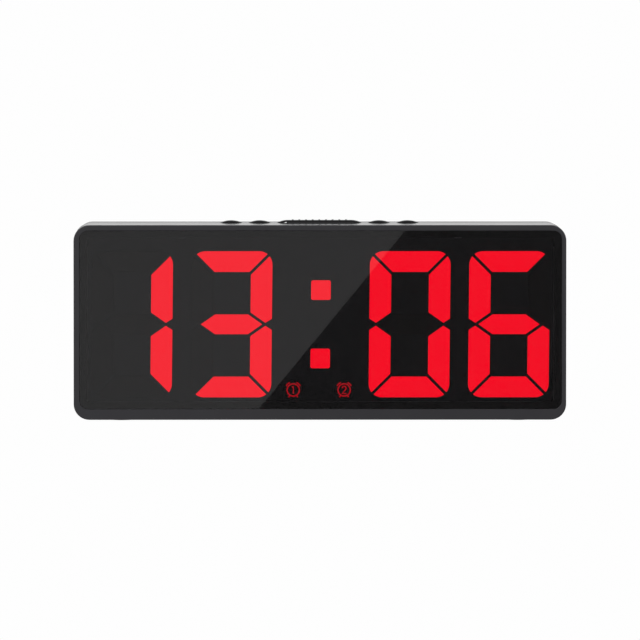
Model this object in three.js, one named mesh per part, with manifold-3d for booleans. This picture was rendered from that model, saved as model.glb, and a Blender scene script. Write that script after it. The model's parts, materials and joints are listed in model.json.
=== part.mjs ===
// A desk alarm clock with a large four-digit LED display, in millimetres.
// +X is to the right of someone facing the clock, -Y is its front and +Z is up.
// The origin is on the table, under the middle of the case.
import * as THREE from "three";
import { mergeVertices } from "three/addons/utils/BufferGeometryUtils.js";
import Module from "manifold-3d";

const wasm = await Module();
wasm.setup();

// Case
const CASE_WIDTH = 154;
const CASE_DEPTH = 38;
const CASE_BOTTOM = 0.3; // the feet hold the case this far off the table
const CASE_TOP = 61.2;
const CASE_CORNER = 4.9;
const WALL = 1.9;
const PARTING_Y = 0.5; // where the front frame meets the rear housing
const RIM_ROUND = 0.35; // rounding of the frame's front edge
const REAR_ROUND = 2; // rounding of the housing's rear edges
const SIDE_DRAFT = 0.5; // the housing is this much narrower on each side at its rear
const LIP_LENGTH = 1.5; // the housing's lip reaches this far into the frame
const LIP_ROOT = 0.4; // thickness of the band that joins the lip to the housing's wall
const CLEARANCE = 0.1; // between two parts that touch
const CUT = 1; // how far a cutting solid runs past the face it opens
const SEAT_GAP = 0.05; // under a part that is screwed or soldered down

const FRONT_Y = -CASE_DEPTH / 2;
const REAR_Y = CASE_DEPTH / 2;
const HALF_WIDTH = CASE_WIDTH / 2;

// Lens and its seat
const LENS_X = 0.2;
const LENS_WIDTH = 150.7;
const LENS_BOTTOM = CASE_BOTTOM + 3.37;
const LENS_TOP = CASE_TOP - 1.8;
const LENS_CORNER = 2.6;
const LENS_RECESS = 0.3;
const LENS_THICK = 1.4;
const TAPE_THICK = 0.25;
const TAPE_WIDTH = 1.6;
const TAPE_INSET = 0.3; // from the lens's edge
const LEDGE_WIDTH = 2.2;
const LEDGE_THICK = 1.4;

// Layers behind the lens, each given by its front and back
const LENS_Y = [FRONT_Y + LENS_RECESS, FRONT_Y + LENS_RECESS + LENS_THICK];
const TAPE_Y = [LENS_Y[1] + 0.05, LENS_Y[1] + 0.05 + TAPE_THICK];
const LEDGE_Y = [TAPE_Y[1] + 0.05, TAPE_Y[1] + 0.05 + LEDGE_THICK];
const MASK_Y = [LENS_Y[1] + 0.45, LENS_Y[1] + 1.25];
const WINDOW_Y = [MASK_Y[0] + 0.1, MASK_Y[1] + 0.2]; // the diffusers' raised segments
const WEB_Y = [MASK_Y[1] + 0.1, MASK_Y[1] + 0.5]; // the thin sheet that joins them
const REFLECTOR_Y = [WEB_Y[1] + CLEARANCE, WEB_Y[1] + 6.4];
const BOARD_Y = [REFLECTOR_Y[1] + 0.05, REFLECTOR_Y[1] + 1.65];

// Display
const DISPLAY_WIDTH = 146;
const DISPLAY_Z = [LENS_BOTTOM + LEDGE_WIDTH + CLEARANCE, CASE_TOP - 7];
const DIGIT_Z = 30.1;
const DIGIT_OFFSETS = [-58.95, -27.85, 27.85, 58.95];
const DIGIT_HALF_WIDTH = 12.6;
const DIGIT_HALF_HEIGHT = 22.85;
const DIGIT_CORNER = 4.2;
const DIGIT_SLANT = Math.tan(THREE.MathUtils.degToRad(0.6));
const STROKE = 6.7; // width of an upright segment
const BAR = 6.45; // height of the top and bottom segments
const MIDDLE_BAR = 6.15;
const SEGMENT_GAP = 0.95;
const MIDDLE_SLOPE = Math.tan(THREE.MathUtils.degToRad(35));
const TIP_INSET = 2.05; // an upright's middle tip, in from the digit's side
const TIP_RISE = 1.3; // the same tip's side chamfer
const COLON_SIDE = 6.1;
const COLON_OFFSET = 10.7;
const ICON_X = [-8.36, 7.57];
const ICON_Z = 9.55;
const ICON_RADIUS = 3.1; // radius of the light window behind each alarm sign
const LED_SIZE = [2.8, 0.9, 2.8];

// Case screws and the bosses that take them
const CASE_SCREW_X = [LENS_X - 43.4, LENS_X + 43.4];
const CASE_SCREW_Z = [CASE_BOTTOM + 4.7, CASE_TOP - 4];
const BOSS_RADIUS = 2.3;
const BOSS_WEB = 1.6; // thickness of the rib from a boss to the wall
const TUBE_RADIUS = 3.4;
const SCREW_HEAD_RADIUS = 2.2;
const SCREW_HEAD_HEIGHT = 1.6;
const SCREW_RADIUS = 1.05;
const SCREW_SEAT_Y = 8; // the floor of each screw's well
const SCREW_TIP_Y = -6;

// Top buttons, their switches and their board
const BUTTON_Y = 5.2;
const BUTTON_X = { set: -27.8, alarm: -18.8, down: 18.8, up: 27.8 };
const BUTTON_RADIUS = 3.4;
const BUTTON_RISE = 0.75; // above the top of the case
const BUTTON_SHOULDER = 0.06; // where a button's domed crown starts, above the case
const SNOOZE_LENGTH = 26.5;
const SNOOZE_WIDTH = 6.8;
const SNOOZE_RISE = 0.85;
const GRIP_RIBS = 9;
const GRIP_PITCH = 2.1;
const GRIP_WIDTH = 0.6;
const GRIP_LENGTH = 3;
const GRIP_HEIGHT = 0.15;
const GUIDE_X = 10; // a guide pin each side keeps the snooze bar level
const GUIDE_RADIUS = 0.9;
const BUTTON_GAP = 0.15; // between a button and the hole it moves in
const FLANGE = 0.6; // how far a button's flange reaches under the wall
const FLANGE_THICK = 0.85;
const STEM_RADIUS = 1.6;
const KEY_BOARD_TOP = 52.2;
const KEY_BOARD_THICK = 1.2;
const KEY_BOARD_HALF = [37.3, 3.9];
const KEY_SCREW_X = 34.6;
const SWITCH_SIDE = 6;
const SWITCH_HEIGHT = 3.45;
const PLUNGER_RADIUS = 1.7;
const PLUNGER_RISE = 1.3;

// Battery bay: three AAA cells lying one above another
const CELL_RADIUS = 5.25;
const CELL_LENGTH = 44.5;
const CELL_PITCH = 10.8;
const CELL_SHIFT = 1.95; // each cell sits this far towards its positive end
const BAY_Z = 28.5;
const BAY_HALF = [25.6, 16.4];
const BAY_WALL = 1.5;
const BAY_FLOOR_Y = 6;
const CELL_Y = BAY_FLOOR_Y + 0.3 + CELL_RADIUS;
const DOOR_HALF = [29.1, 17.8];
const DOOR_GAP = 0.25;
const DOOR_Y = [17.2, 18.8];
const DOOR_SEAT_Y = DOOR_Y[0] - CLEARANCE;
const DOOR_CORNER = 1.5;
const TAB_X = 18;
const TAB_WIDTH = 5.8;
const TAB_LENGTH = 1.2;
const TAB_THICK = 0.8;
const LATCH_WIDTH = 9;
const LATCH_LENGTH = 8;
const LATCH_SLOT = 0.8;
const LATCH_RIB = 0.2;
const CONTACT_THICK = 0.4;
const CONTACT_MARGIN = 4.2; // a contact plate reaches this far past a cell's middle
const TAG_WIDTH = 2.2; // the soldered tag of an end contact

// Power inlet
const SOCKET_X = -52;
const SOCKET_SIZE = [7.6, 5.6, 2.8];
const SOCKET_WALL = 0.35;
const SOCKET_MOUTH_Y = 18.6;
const POWER_BOARD_TOP = 11.2;
const POWER_BOARD_THICK = 1.2;
const POWER_BOARD_HALF = 8.5;
const POWER_BOARD_Y = [4.5, 16.6];

// Sounder and the slots that let its sound out
const SOUNDER_X = 52;
const SOUNDER_Z = 34;
const SOUNDER_RADIUS = 6;
const SOUNDER_DEPTH = 5.5;
const SOUND_HOLE_RADIUS = 1.2;
const SLOT_COUNT = 5;
const SLOT_PITCH = 2.6;
const SLOT_SIZE = [12, 1.2];

// Parts on the back of the display board, as [x, z] of the middle and their sizes
const BOARD_SCREW_Z = [16, 44];
const BOARD_SCREW = { head: 1.7, headHeight: 1.1, radius: 0.8, length: 5.45 };
const DRIVER_CHIP = { x: 0, z: 28.75, width: 18, height: 7.5, depth: 2.3 };
const CRYSTAL = { x: 9.5, z: 47.75, width: 11, height: 4.5, depth: 3.5 };
const CAPACITOR = { x: -50, z: 40, radius: 3.15, depth: 7 };
const CLAMP_POST = { x: [-20, 20], z: [20, 38], radius: 1.8 };
const LEAD_RADIUS = 0.6;
const POWER_LEAD_RADIUS = 0.8;
const RIBBON_X = [-30, -20];

// Feet
const FOOT_RADIUS = 4;
const FOOT_HEIGHT = 0.85;
const FOOT_POCKET = 0.6;
const FOOT_X = 62;
const FOOT_Y = 11;

const finish = (color, roughness, metalness = 0) =>
  new THREE.MeshStandardMaterial({ color, roughness, metalness });
const FINISH = {
  frame: () => finish(0x323136, 0.45),
  housing: () => finish(0x2b2b2e, 0.35),
  lens: () => finish(0x18181a, 0.05),
  tape: () => finish(0x111111, 0.9),
  mask: () => finish(0x0c0c0d, 0.8),
  diffuser: () => finish(0xf60f25, 0.6),
  reflector: () => finish(0xe8e8e4, 0.7),
  circuit: () => finish(0x1d5a34, 0.55),
  chip: () => finish(0x161616, 0.6),
  steel: () => finish(0xb4b6b9, 0.3, 1),
  button: () => finish(0x121214, 0.2),
  redWire: () => finish(0xb01218, 0.5),
  blackWire: () => finish(0x141414, 0.5),
  ribbon: () => finish(0xc9c9c4, 0.5),
  cell: () => finish(0x2f6f4f, 0.35),
  rubber: () => finish(0x1a1a1a, 0.95),
};

const clock = new THREE.Group();

// ---- Shapes ----

const point = (x, y) => new THREE.Vector2(x, y);

function toSolid(geometry) {
  geometry.deleteAttribute("normal");
  geometry.deleteAttribute("uv");
  const merged = mergeVertices(geometry, 1e-4);
  return new wasm.Manifold(
    new wasm.Mesh({
      numProp: 3,
      vertProperties: merged.attributes.position.array,
      triVerts: new Uint32Array(merged.index.array),
    }),
  );
}

function addPart(name, solid, material) {
  const { numProp, vertProperties, triVerts } = solid.getMesh();
  const geometry = new THREE.BufferGeometry();
  geometry.setAttribute("position", new THREE.BufferAttribute(vertProperties, numProp));
  geometry.setIndex(new THREE.BufferAttribute(triVerts, 1));
  geometry.computeVertexNormals();
  const mesh = new THREE.Mesh(geometry, material);
  mesh.name = name;
  clock.add(mesh);
}

const join = (first, ...others) => others.reduce((whole, other) => whole.add(other), first);
const cut = (first, ...others) => others.reduce((whole, other) => whole.subtract(other), first);

function arcPoints(x, y, radius, fromDegrees, toDegrees, steps) {
  return Array.from({ length: steps + 1 }, (_, i) => {
    const angle = THREE.MathUtils.degToRad(fromDegrees + ((toDegrees - fromDegrees) * i) / steps);
    return point(x + radius * Math.cos(angle), y + radius * Math.sin(angle));
  });
}

// A quarter-round edge as [distance along the solid, inset from its side] pairs.
const rounding = (radius, steps) =>
  arcPoints(0, 0, radius, 0, 90, steps).map((p) => [p.y, radius - p.x]);

// A rectangle with rounded corners, anticlockwise from its lower right corner.
function roundedRect(x0, x1, y0, y1, radius, steps = 4) {
  return [
    ...arcPoints(x1 - radius, y0 + radius, radius, -90, 0, steps),
    ...arcPoints(x1 - radius, y1 - radius, radius, 0, 90, steps),
    ...arcPoints(x0 + radius, y1 - radius, radius, 90, 180, steps),
    ...arcPoints(x0 + radius, y0 + radius, radius, 180, 270, steps),
  ];
}

// A solid of this outline in X and Z, from the first y to the second, with holes through it.
function plate(outline, y0, y1, holes = []) {
  const shape = new THREE.Shape(outline);
  shape.holes = holes.map((hole) => new THREE.Path(hole));
  const geometry = new THREE.ExtrudeGeometry(shape, { depth: y1 - y0, bevelEnabled: false });
  return toSolid(geometry.rotateX(Math.PI / 2).translate(0, y1, 0));
}

// A solid of this outline in X and Y, from the first z to the second.
function slab(outline, z0, z1) {
  const geometry = new THREE.ExtrudeGeometry(new THREE.Shape(outline), {
    depth: z1 - z0,
    bevelEnabled: false,
  });
  return toSolid(geometry.translate(0, 0, z0));
}

// A solid of this outline in Y and Z, from the first x to the second.
function strip(outline, x0, x1) {
  const geometry = new THREE.ExtrudeGeometry(new THREE.Shape(outline), {
    depth: x1 - x0,
    bevelEnabled: false,
  });
  const turn = new THREE.Matrix4().set(0, 0, 1, x0, 1, 0, 0, 0, 0, 1, 0, 0, 0, 0, 0, 1);
  return toSolid(geometry.applyMatrix4(turn));
}

// A solid through outlines in X and Z that have the same number of points, from front to rear.
function loft(sections) {
  const count = sections[0].outline.length;
  const last = (sections.length - 1) * count;
  const positions = sections.flatMap(({ y, outline }) => outline.flatMap((p) => [p.x, y, p.y]));
  const triangles = [];
  for (let start = 0; start < last; start += count) {
    for (let i = 0; i < count; i++) {
      const a = start + i;
      const b = start + ((i + 1) % count);
      triangles.push(a, a + count, b, b, a + count, b + count);
    }
  }
  const end = sections[sections.length - 1].outline;
  for (const [a, b, c] of THREE.ShapeUtils.triangulateShape(sections[0].outline, []))
    triangles.push(a, b, c);
  for (const [a, b, c] of THREE.ShapeUtils.triangulateShape(end, []))
    triangles.push(last + a, last + c, last + b);
  const geometry = new THREE.BufferGeometry();
  geometry.setAttribute("position", new THREE.Float32BufferAttribute(positions, 3));
  geometry.setIndex(triangles);
  return toSolid(geometry);
}

// A block between two values of x, y and z.
function block(x0, x1, y0, y1, z0, z1) {
  const geometry = new THREE.BoxGeometry(x1 - x0, y1 - y0, z1 - z0);
  return toSolid(geometry.translate((x0 + x1) / 2, (y0 + y1) / 2, (z0 + z1) / 2));
}

// The same, centred on x.
const blockAt = (x, width, y0, y1, z0, z1) => block(x - width / 2, x + width / 2, y0, y1, z0, z1);

function rodY(x, z, radius, y0, y1, sides = 16) {
  const geometry = new THREE.CylinderGeometry(radius, radius, y1 - y0, sides);
  return toSolid(geometry.translate(x, (y0 + y1) / 2, z));
}

function rodZ(x, y, radius, z0, z1, sides = 16) {
  const geometry = new THREE.CylinderGeometry(radius, radius, z1 - z0, sides);
  return toSolid(geometry.rotateX(Math.PI / 2).translate(x, y, (z0 + z1) / 2));
}

// Turns a profile of [radius, height] pairs, which starts and ends on the axis, about +Y.
function turned(profile, sides = 16) {
  return new THREE.LatheGeometry(profile.map(([r, h]) => point(r, h)), sides);
}
const turnedX = (profile, x, y, z, sides) =>
  toSolid(turned(profile, sides).rotateZ(-Math.PI / 2).translate(x, y, z));
const turnedY = (profile, x, y, z, sides) => toSolid(turned(profile, sides).translate(x, y, z));
const turnedZ = (profile, x, y, z, sides) =>
  toSolid(turned(profile, sides).rotateX(Math.PI / 2).translate(x, y, z));

// A round wire along a smooth curve through the points.
function wire(points, radius, steps) {
  const path = new THREE.CatmullRomCurve3(points.map((p) => new THREE.Vector3(...p)));
  const section = new THREE.Shape(arcPoints(0, 0, radius, 0, 315, 7));
  return toSolid(
    new THREE.ExtrudeGeometry(section, { extrudePath: path, steps, bevelEnabled: false }),
  );
}

// ---- Outlines that several parts share ----

// The case seen from the front, drawn in by an inset on every side.
function caseOutline(inset, sideInset = inset, corner = CASE_CORNER - inset) {
  return roundedRect(
    -HALF_WIDTH + sideInset,
    HALF_WIDTH - sideInset,
    CASE_BOTTOM + inset,
    CASE_TOP - inset,
    corner,
    8,
  );
}

function lensOutline(inset) {
  const half = LENS_WIDTH / 2 - inset;
  const corner = Math.max(LENS_CORNER - inset, 0.6);
  return roundedRect(
    LENS_X - half,
    LENS_X + half,
    LENS_BOTTOM + inset,
    LENS_TOP - inset,
    corner,
    5,
  );
}

// One of a digit's seven segments, a to g, about the digit's middle.
// The top and bottom ones are clipped by 45 degree mitres that run into the digit's corners.
function segmentOutline(segment, grow = 0) {
  const gap = SEGMENT_GAP - 2 * grow;
  const side = DIGIT_HALF_WIDTH + grow;
  const top = DIGIT_HALF_HEIGHT + grow;
  const corner = DIGIT_CORNER + grow;
  const shift = gap * Math.SQRT1_2;
  const mitre = top - side;
  const chord = (Math.sqrt(2 * corner ** 2 - shift ** 2) + shift) / 2;
  const tipDegrees = THREE.MathUtils.radToDeg(Math.atan2(chord, chord - shift));
  const cornerAt = [side - corner, top - corner];
  let outline;
  if (segment === "a" || segment === "d") {
    const inner = DIGIT_HALF_HEIGHT - BAR - grow;
    const reach = inner - mitre - shift;
    outline = [
      point(-reach, inner),
      point(reach, inner),
      ...arcPoints(...cornerAt, corner, tipDegrees, 90, 2),
      ...arcPoints(-cornerAt[0], cornerAt[1], corner, 90, 180 - tipDegrees, 2),
    ];
  } else if (segment === "g") {
    const half = MIDDLE_BAR / 2 + grow;
    const innerTip = side - TIP_INSET + gap / 2 / MIDDLE_SLOPE;
    const tip = innerTip - gap / Math.sin(Math.atan(MIDDLE_SLOPE));
    const reach = tip - half / MIDDLE_SLOPE;
    outline = [
      point(-tip, 0),
      point(-reach, -half),
      point(reach, -half),
      point(tip, 0),
      point(reach, half),
      point(-reach, half),
    ];
  } else {
    const inner = DIGIT_HALF_WIDTH - STROKE - grow;
    const tip = side - TIP_INSET;
    outline = [
      point(inner, inner + mitre - shift),
      point(inner, gap / 2 + (tip - inner) * MIDDLE_SLOPE),
      point(tip, gap / 2),
      point(side, gap / 2 + TIP_RISE),
      ...arcPoints(...cornerAt, corner, 0, 90 - tipDegrees, 2),
    ];
  }
  const left = segment === "e" || segment === "f";
  const lower = segment === "c" || segment === "d" || segment === "e";
  const flipped = outline.map((p) => point(left ? -p.x : p.x, lower ? -p.y : p.y));
  if (left !== lower) flipped.reverse();
  return flipped;
}

const digitX = (digit) => LENS_X + DIGIT_OFFSETS[digit];
const lean = (outline, x) =>
  outline.map((p) => point(x + p.x + p.y * DIGIT_SLANT, DIGIT_Z + p.y));
const digitSegments = (digit, grow) =>
  [..."abcdefg"].map((segment) => lean(segmentOutline(segment, grow), digitX(digit)));

const square = (x, z, side, corner) =>
  roundedRect(x - side / 2, x + side / 2, z - side / 2, z + side / 2, corner, 2);
const colonOutlines = (grow) =>
  [-1, 1].map((way) =>
    square(
      LENS_X + way * COLON_OFFSET * DIGIT_SLANT,
      DIGIT_Z + way * COLON_OFFSET,
      COLON_SIDE + 2 * grow,
      0.6,
    ),
  );
const iconOutlines = (grow) =>
  ICON_X.map((x) => arcPoints(x, ICON_Z, ICON_RADIUS + grow, 0, 337.5, 15));

const displayWindows = (grow) => [
  ...DIGIT_OFFSETS.flatMap((_, digit) => digitSegments(digit, grow)),
  ...colonOutlines(grow),
  ...iconOutlines(grow),
];

// The reflector's and the display board's outline, notched where the lower bosses pass.
function displayOutline() {
  const [bottom, top] = DISPLAY_Z;
  const half = DISPLAY_WIDTH / 2;
  const notch = BOSS_RADIUS + 0.4;
  const notchTop = CASE_SCREW_Z[0] + notch;
  return [
    point(LENS_X - half, bottom),
    ...CASE_SCREW_X.flatMap((x) => [
      point(x - notch, bottom),
      point(x - notch, notchTop),
      point(x + notch, notchTop),
      point(x + notch, bottom),
    ]),
    point(LENS_X + half, bottom),
    point(LENS_X + half, top),
    point(LENS_X - half, top),
  ];
}

const caseScrews = CASE_SCREW_X.flatMap((x) => CASE_SCREW_Z.map((z) => [x, z]));
const boardScrews = CASE_SCREW_X.flatMap((x) => BOARD_SCREW_Z.map((z) => [x, z]));
const footPlaces = [-1, 1].flatMap((sideY) =>
  [-1, 1].map((sideX) => [sideX * FOOT_X, sideY * FOOT_Y]),
);
const footPockets = footPlaces.map(([x, y]) =>
  rodZ(x, y, FOOT_RADIUS + 0.2, CASE_BOTTOM - CUT, CASE_BOTTOM + FOOT_POCKET, 20),
);

// ---- Front frame ----

function frontFrame() {
  const rim = rounding(RIM_ROUND, 4).map(([along, inset]) => ({
    y: FRONT_Y + RIM_ROUND - along,
    outline: caseOutline(inset),
  }));
  const shell = loft([...rim.reverse(), { y: PARTING_Y - CLEARANCE / 2, outline: caseOutline(0) }]);
  const lensPocket = plate(lensOutline(-CLEARANCE), FRONT_Y - CUT, LEDGE_Y[0]);
  const opening = plate(lensOutline(LEDGE_WIDTH), FRONT_Y, LEDGE_Y[1] + CUT);
  const inside = plate(caseOutline(WALL), LEDGE_Y[1], PARTING_Y + CUT);
  const root = LEDGE_Y[1] - 0.5;
  const bosses = caseScrews.map(([x, z]) => {
    const wallZ = z < DIGIT_Z ? CASE_BOTTOM + 1 : CASE_TOP - 1;
    const span = [z, wallZ].sort((a, b) => a - b);
    const web = blockAt(x, BOSS_WEB, root, PARTING_Y - LIP_LENGTH - 0.3, ...span);
    return rodY(x, z, BOSS_RADIUS, root, PARTING_Y - 0.3).add(web);
  });
  const pilots = caseScrews.map(([x, z]) =>
    rodY(x, z, SCREW_RADIUS + 0.05, SCREW_TIP_Y - 0.5, PARTING_Y + CUT, 12),
  );
  const body = join(cut(shell, lensPocket, opening, inside), ...bosses);
  return cut(body, ...pilots, ...footPockets);
}

// ---- Lens and display ----

function segmentMask() {
  const half = DISPLAY_WIDTH / 2 - 0.2;
  const top = LENS_TOP - LEDGE_WIDTH - CLEARANCE;
  const outline = roundedRect(LENS_X - half, LENS_X + half, DISPLAY_Z[0], top, 0.5, 2);
  return plate(outline, MASK_Y[0], MASK_Y[1], displayWindows(CLEARANCE));
}

function diffuser(outlines, sheet) {
  return join(
    plate(sheet, ...WEB_Y),
    ...outlines.map((outline) => plate(outline, ...WINDOW_Y)),
  );
}

function digitDiffuser(digit) {
  const sheet = roundedRect(
    -DIGIT_HALF_WIDTH - 0.6,
    DIGIT_HALF_WIDTH + 0.6,
    -DIGIT_HALF_HEIGHT - 0.6,
    DIGIT_HALF_HEIGHT + 0.6,
    DIGIT_CORNER,
    2,
  );
  return diffuser(digitSegments(digit, 0), lean(sheet, digitX(digit)));
}

function centreDiffuser() {
  const sheet = roundedRect(-12.6, 12.6, DISPLAY_Z[0] + 0.3, DIGIT_Z + 16, 1, 2);
  return diffuser([...colonOutlines(0), ...iconOutlines(0)], sheet);
}

function reflectorFrame() {
  const pilots = boardScrews.map(([x, z]) => arcPoints(x, z, 0.85, 0, 315, 7));
  return plate(displayOutline(), ...REFLECTOR_Y, [...displayWindows(0), ...pilots]);
}

// Two light-emitting chips stand behind each segment and one behind each small window.
function ledPlaces() {
  const upright = DIGIT_HALF_WIDTH - STROKE / 2;
  const across = DIGIT_HALF_HEIGHT - BAR / 2;
  const places = [];
  for (const digit of DIGIT_OFFSETS.keys()) {
    const add = (x, z) => places.push([digitX(digit) + x + z * DIGIT_SLANT, DIGIT_Z + z]);
    for (const x of [-3.2, 3.2]) for (const z of [-across, 0, across]) add(x, z);
    for (const x of [-upright, upright]) for (const z of [-14, -7, 7, 14]) add(x, z);
  }
  for (const way of [-1, 1]) places.push([LENS_X, DIGIT_Z + way * COLON_OFFSET]);
  for (const x of ICON_X) places.push([x, ICON_Z]);
  return places;
}

function displayBoard() {
  const holes = boardScrews.map(([x, z]) => arcPoints(x, z, 1.1, 0, 315, 7));
  const [width, height, depth] = LED_SIZE;
  const lights = ledPlaces().map(([x, z]) =>
    blockAt(x, width, BOARD_Y[0] - height, BOARD_Y[0] + 0.1, z - depth / 2, z + depth / 2),
  );
  return join(plate(displayOutline(), ...BOARD_Y, holes), ...lights);
}

// ---- Screws ----

// A pan-head screw along +Y, its head's underside at y and its tip ahead of it.
function screw(x, y, z, headRadius, headHeight, radius, tipY) {
  const length = y - tipY;
  return turnedY(
    [
      [0, -length],
      [radius * 0.5, -length],
      [radius, -length + 1],
      [radius, 0],
      [headRadius, 0],
      [headRadius, headHeight * 0.55],
      [headRadius * 0.7, headHeight],
      [0, headHeight],
    ],
    x,
    y,
    z,
    12,
  );
}

// ---- Top buttons ----

const WALL_UNDERSIDE = CASE_TOP - WALL;
const FLANGE_Z = [WALL_UNDERSIDE - CLEARANCE - FLANGE_THICK, WALL_UNDERSIDE - CLEARANCE];
const SWITCH_BOTTOM = KEY_BOARD_TOP + SEAT_GAP;
const PLUNGER_TOP = SWITCH_BOTTOM + SWITCH_HEIGHT + PLUNGER_RISE;
const STEM_BOTTOM = PLUNGER_TOP + SEAT_GAP;

// A domed crown as [radius, height] pairs, from its edge up to its middle.
function dome(radius, edge, crown, steps) {
  const rise = crown - edge;
  const sphere = (radius ** 2 + rise ** 2) / (2 * rise);
  const start = THREE.MathUtils.radToDeg(Math.acos(radius / sphere));
  const arc = arcPoints(0, crown - sphere, sphere, start, 90, steps).slice(0, -1);
  return [...arc.map((p) => [p.x, p.y]), [0, crown]];
}

function roundButton(x) {
  return turnedZ(
    [
      [0, STEM_BOTTOM],
      [STEM_RADIUS, STEM_BOTTOM],
      [STEM_RADIUS, FLANGE_Z[0]],
      [BUTTON_RADIUS + FLANGE, FLANGE_Z[0]],
      [BUTTON_RADIUS + FLANGE, FLANGE_Z[1]],
      [BUTTON_RADIUS, FLANGE_Z[1]],
      ...dome(BUTTON_RADIUS, CASE_TOP + BUTTON_SHOULDER, CASE_TOP + BUTTON_RISE, 6),
    ],
    x,
    BUTTON_Y,
    0,
    20,
  );
}

// The snooze bar seen from above, about its own middle.
function snoozeOutline(grow) {
  return roundedRect(
    -SNOOZE_LENGTH / 2 - grow,
    SNOOZE_LENGTH / 2 + grow,
    -SNOOZE_WIDTH / 2 - grow,
    SNOOZE_WIDTH / 2 + grow,
    SNOOZE_WIDTH / 2 + grow - 0.01,
    6,
  );
}
const snoozeSlab = (grow, z0, z1) => slab(snoozeOutline(grow), z0, z1).translate([0, BUTTON_Y, 0]);

function snoozeBar() {
  const half = SNOOZE_WIDTH / 2;
  const crown = CASE_TOP + SNOOZE_RISE;
  const rings = dome(half, CASE_TOP + BUTTON_SHOULDER, crown, 7)
    .slice(0, -1)
    .map(([radius, height]) => ({ y: height, outline: snoozeOutline(radius - half) }));
  const cap = loft([{ y: FLANGE_Z[0], outline: snoozeOutline(0) }, ...rings]);
  const ribs = Array.from({ length: GRIP_RIBS }, (_, i) => {
    const x = (i - (GRIP_RIBS - 1) / 2) * GRIP_PITCH;
    const [front, back] = [BUTTON_Y - GRIP_LENGTH / 2, BUTTON_Y + GRIP_LENGTH / 2];
    return blockAt(x, GRIP_WIDTH, front, back, crown - 0.4, crown + GRIP_HEIGHT);
  });
  const root = FLANGE_Z[0] + 0.2;
  const guides = [-GUIDE_X, GUIDE_X].map((x) =>
    rodZ(x, BUTTON_Y, GUIDE_RADIUS, KEY_BOARD_TOP - 1.8, root, 10),
  );
  return join(
    cap.rotate([90, 0, 0]).translate([0, BUTTON_Y, 0]),
    snoozeSlab(FLANGE, ...FLANGE_Z),
    rodZ(0, BUTTON_Y, STEM_RADIUS, STEM_BOTTOM, root),
    ...guides,
    ...ribs,
  );
}

function keyBoard() {
  const [halfX, halfY] = KEY_BOARD_HALF;
  const bottom = KEY_BOARD_TOP - KEY_BOARD_THICK;
  const board = block(-halfX, halfX, BUTTON_Y - halfY, BUTTON_Y + halfY, bottom, KEY_BOARD_TOP);
  const holes = [-KEY_SCREW_X, -GUIDE_X, GUIDE_X, KEY_SCREW_X].map((x) =>
    rodZ(x, BUTTON_Y, GUIDE_RADIUS + 0.25, bottom - CUT, KEY_BOARD_TOP + CUT, 10),
  );
  return cut(board, ...holes);
}

function switchBody(x) {
  const half = SWITCH_SIDE / 2;
  const top = SWITCH_BOTTOM + SWITCH_HEIGHT;
  return cut(
    block(x - half, x + half, BUTTON_Y - half, BUTTON_Y + half, SWITCH_BOTTOM, top),
    rodZ(x, BUTTON_Y, PLUNGER_RADIUS + 0.15, top - 2.1, top + CUT, 12),
  );
}

const switchPlunger = (x) =>
  rodZ(x, BUTTON_Y, PLUNGER_RADIUS, PLUNGER_TOP - PLUNGER_RISE - 1.2, PLUNGER_TOP, 12);

// ---- Rear housing ----

const recess = { x: DOOR_HALF[0] + DOOR_GAP, z: DOOR_HALF[1] + DOOR_GAP };

function housingShell() {
  const back = rounding(REAR_ROUND, 5).map(([along, inset]) => ({
    y: REAR_Y - REAR_ROUND + along,
    outline: caseOutline(inset, SIDE_DRAFT + inset),
  }));
  return loft([{ y: PARTING_Y + CLEARANCE / 2, outline: caseOutline(0) }, ...back]);
}

function rearHousing() {
  const inside = plate(caseOutline(WALL, WALL + SIDE_DRAFT), PARTING_Y - CUT, REAR_Y - WALL);
  const lipFront = PARTING_Y - LIP_LENGTH;
  const lipRoot = PARTING_Y + CLEARANCE / 2;
  const lip = cut(
    join(
      plate(caseOutline(WALL + CLEARANCE), lipFront, lipRoot + 0.2),
      plate(caseOutline(WALL - 0.3), lipRoot, lipRoot + LIP_ROOT),
    ),
    plate(caseOutline(WALL + 1.1), lipFront - CUT, lipRoot + LIP_ROOT + CUT),
    ...caseScrews.map(([x, z]) => rodY(x, z, BOSS_RADIUS + 0.3, lipFront - CUT, lipRoot)),
  );
  const bayX = BAY_HALF[0] + BAY_WALL + 3;
  const bayZ = BAY_HALF[1] + BAY_WALL + 1.2;
  const bay = block(-bayX, bayX, BAY_FLOOR_Y - BAY_WALL, REAR_Y - 0.5, BAY_Z - bayZ, BAY_Z + bayZ);
  const tubes = caseScrews.map(([x, z]) =>
    rodY(x, z, TUBE_RADIUS, PARTING_Y + SEAT_GAP, REAR_Y - 0.5, 12),
  );
  const keyPosts = [-KEY_SCREW_X, KEY_SCREW_X].map((x) =>
    rodZ(x, BUTTON_Y, 2.1, KEY_BOARD_TOP + CLEARANCE, WALL_UNDERSIDE + 0.5, 12),
  );
  const clampPosts = CLAMP_POST.x.flatMap((x) =>
    CLAMP_POST.z.map((z) => rodY(x, z, CLAMP_POST.radius, BOARD_Y[1] + 0.2, BAY_FLOOR_Y - 0.5, 10)),
  );
  const boardRests = [-1, 1].map((way) => {
    const x = SOCKET_X + way * (POWER_BOARD_HALF - 0.8);
    const top = POWER_BOARD_TOP - POWER_BOARD_THICK - CLEARANCE;
    return blockAt(x, 1.2, BAY_FLOOR_Y, REAR_Y - 1, CASE_BOTTOM + 1, top);
  });
  const body = join(
    cut(housingShell(), inside),
    lip,
    bay,
    ...tubes,
    ...keyPosts,
    ...clampPosts,
    ...boardRests,
  );
  return cut(body, ...batteryBayCuts(), ...housingOpenings(), ...footPockets);
}

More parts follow.
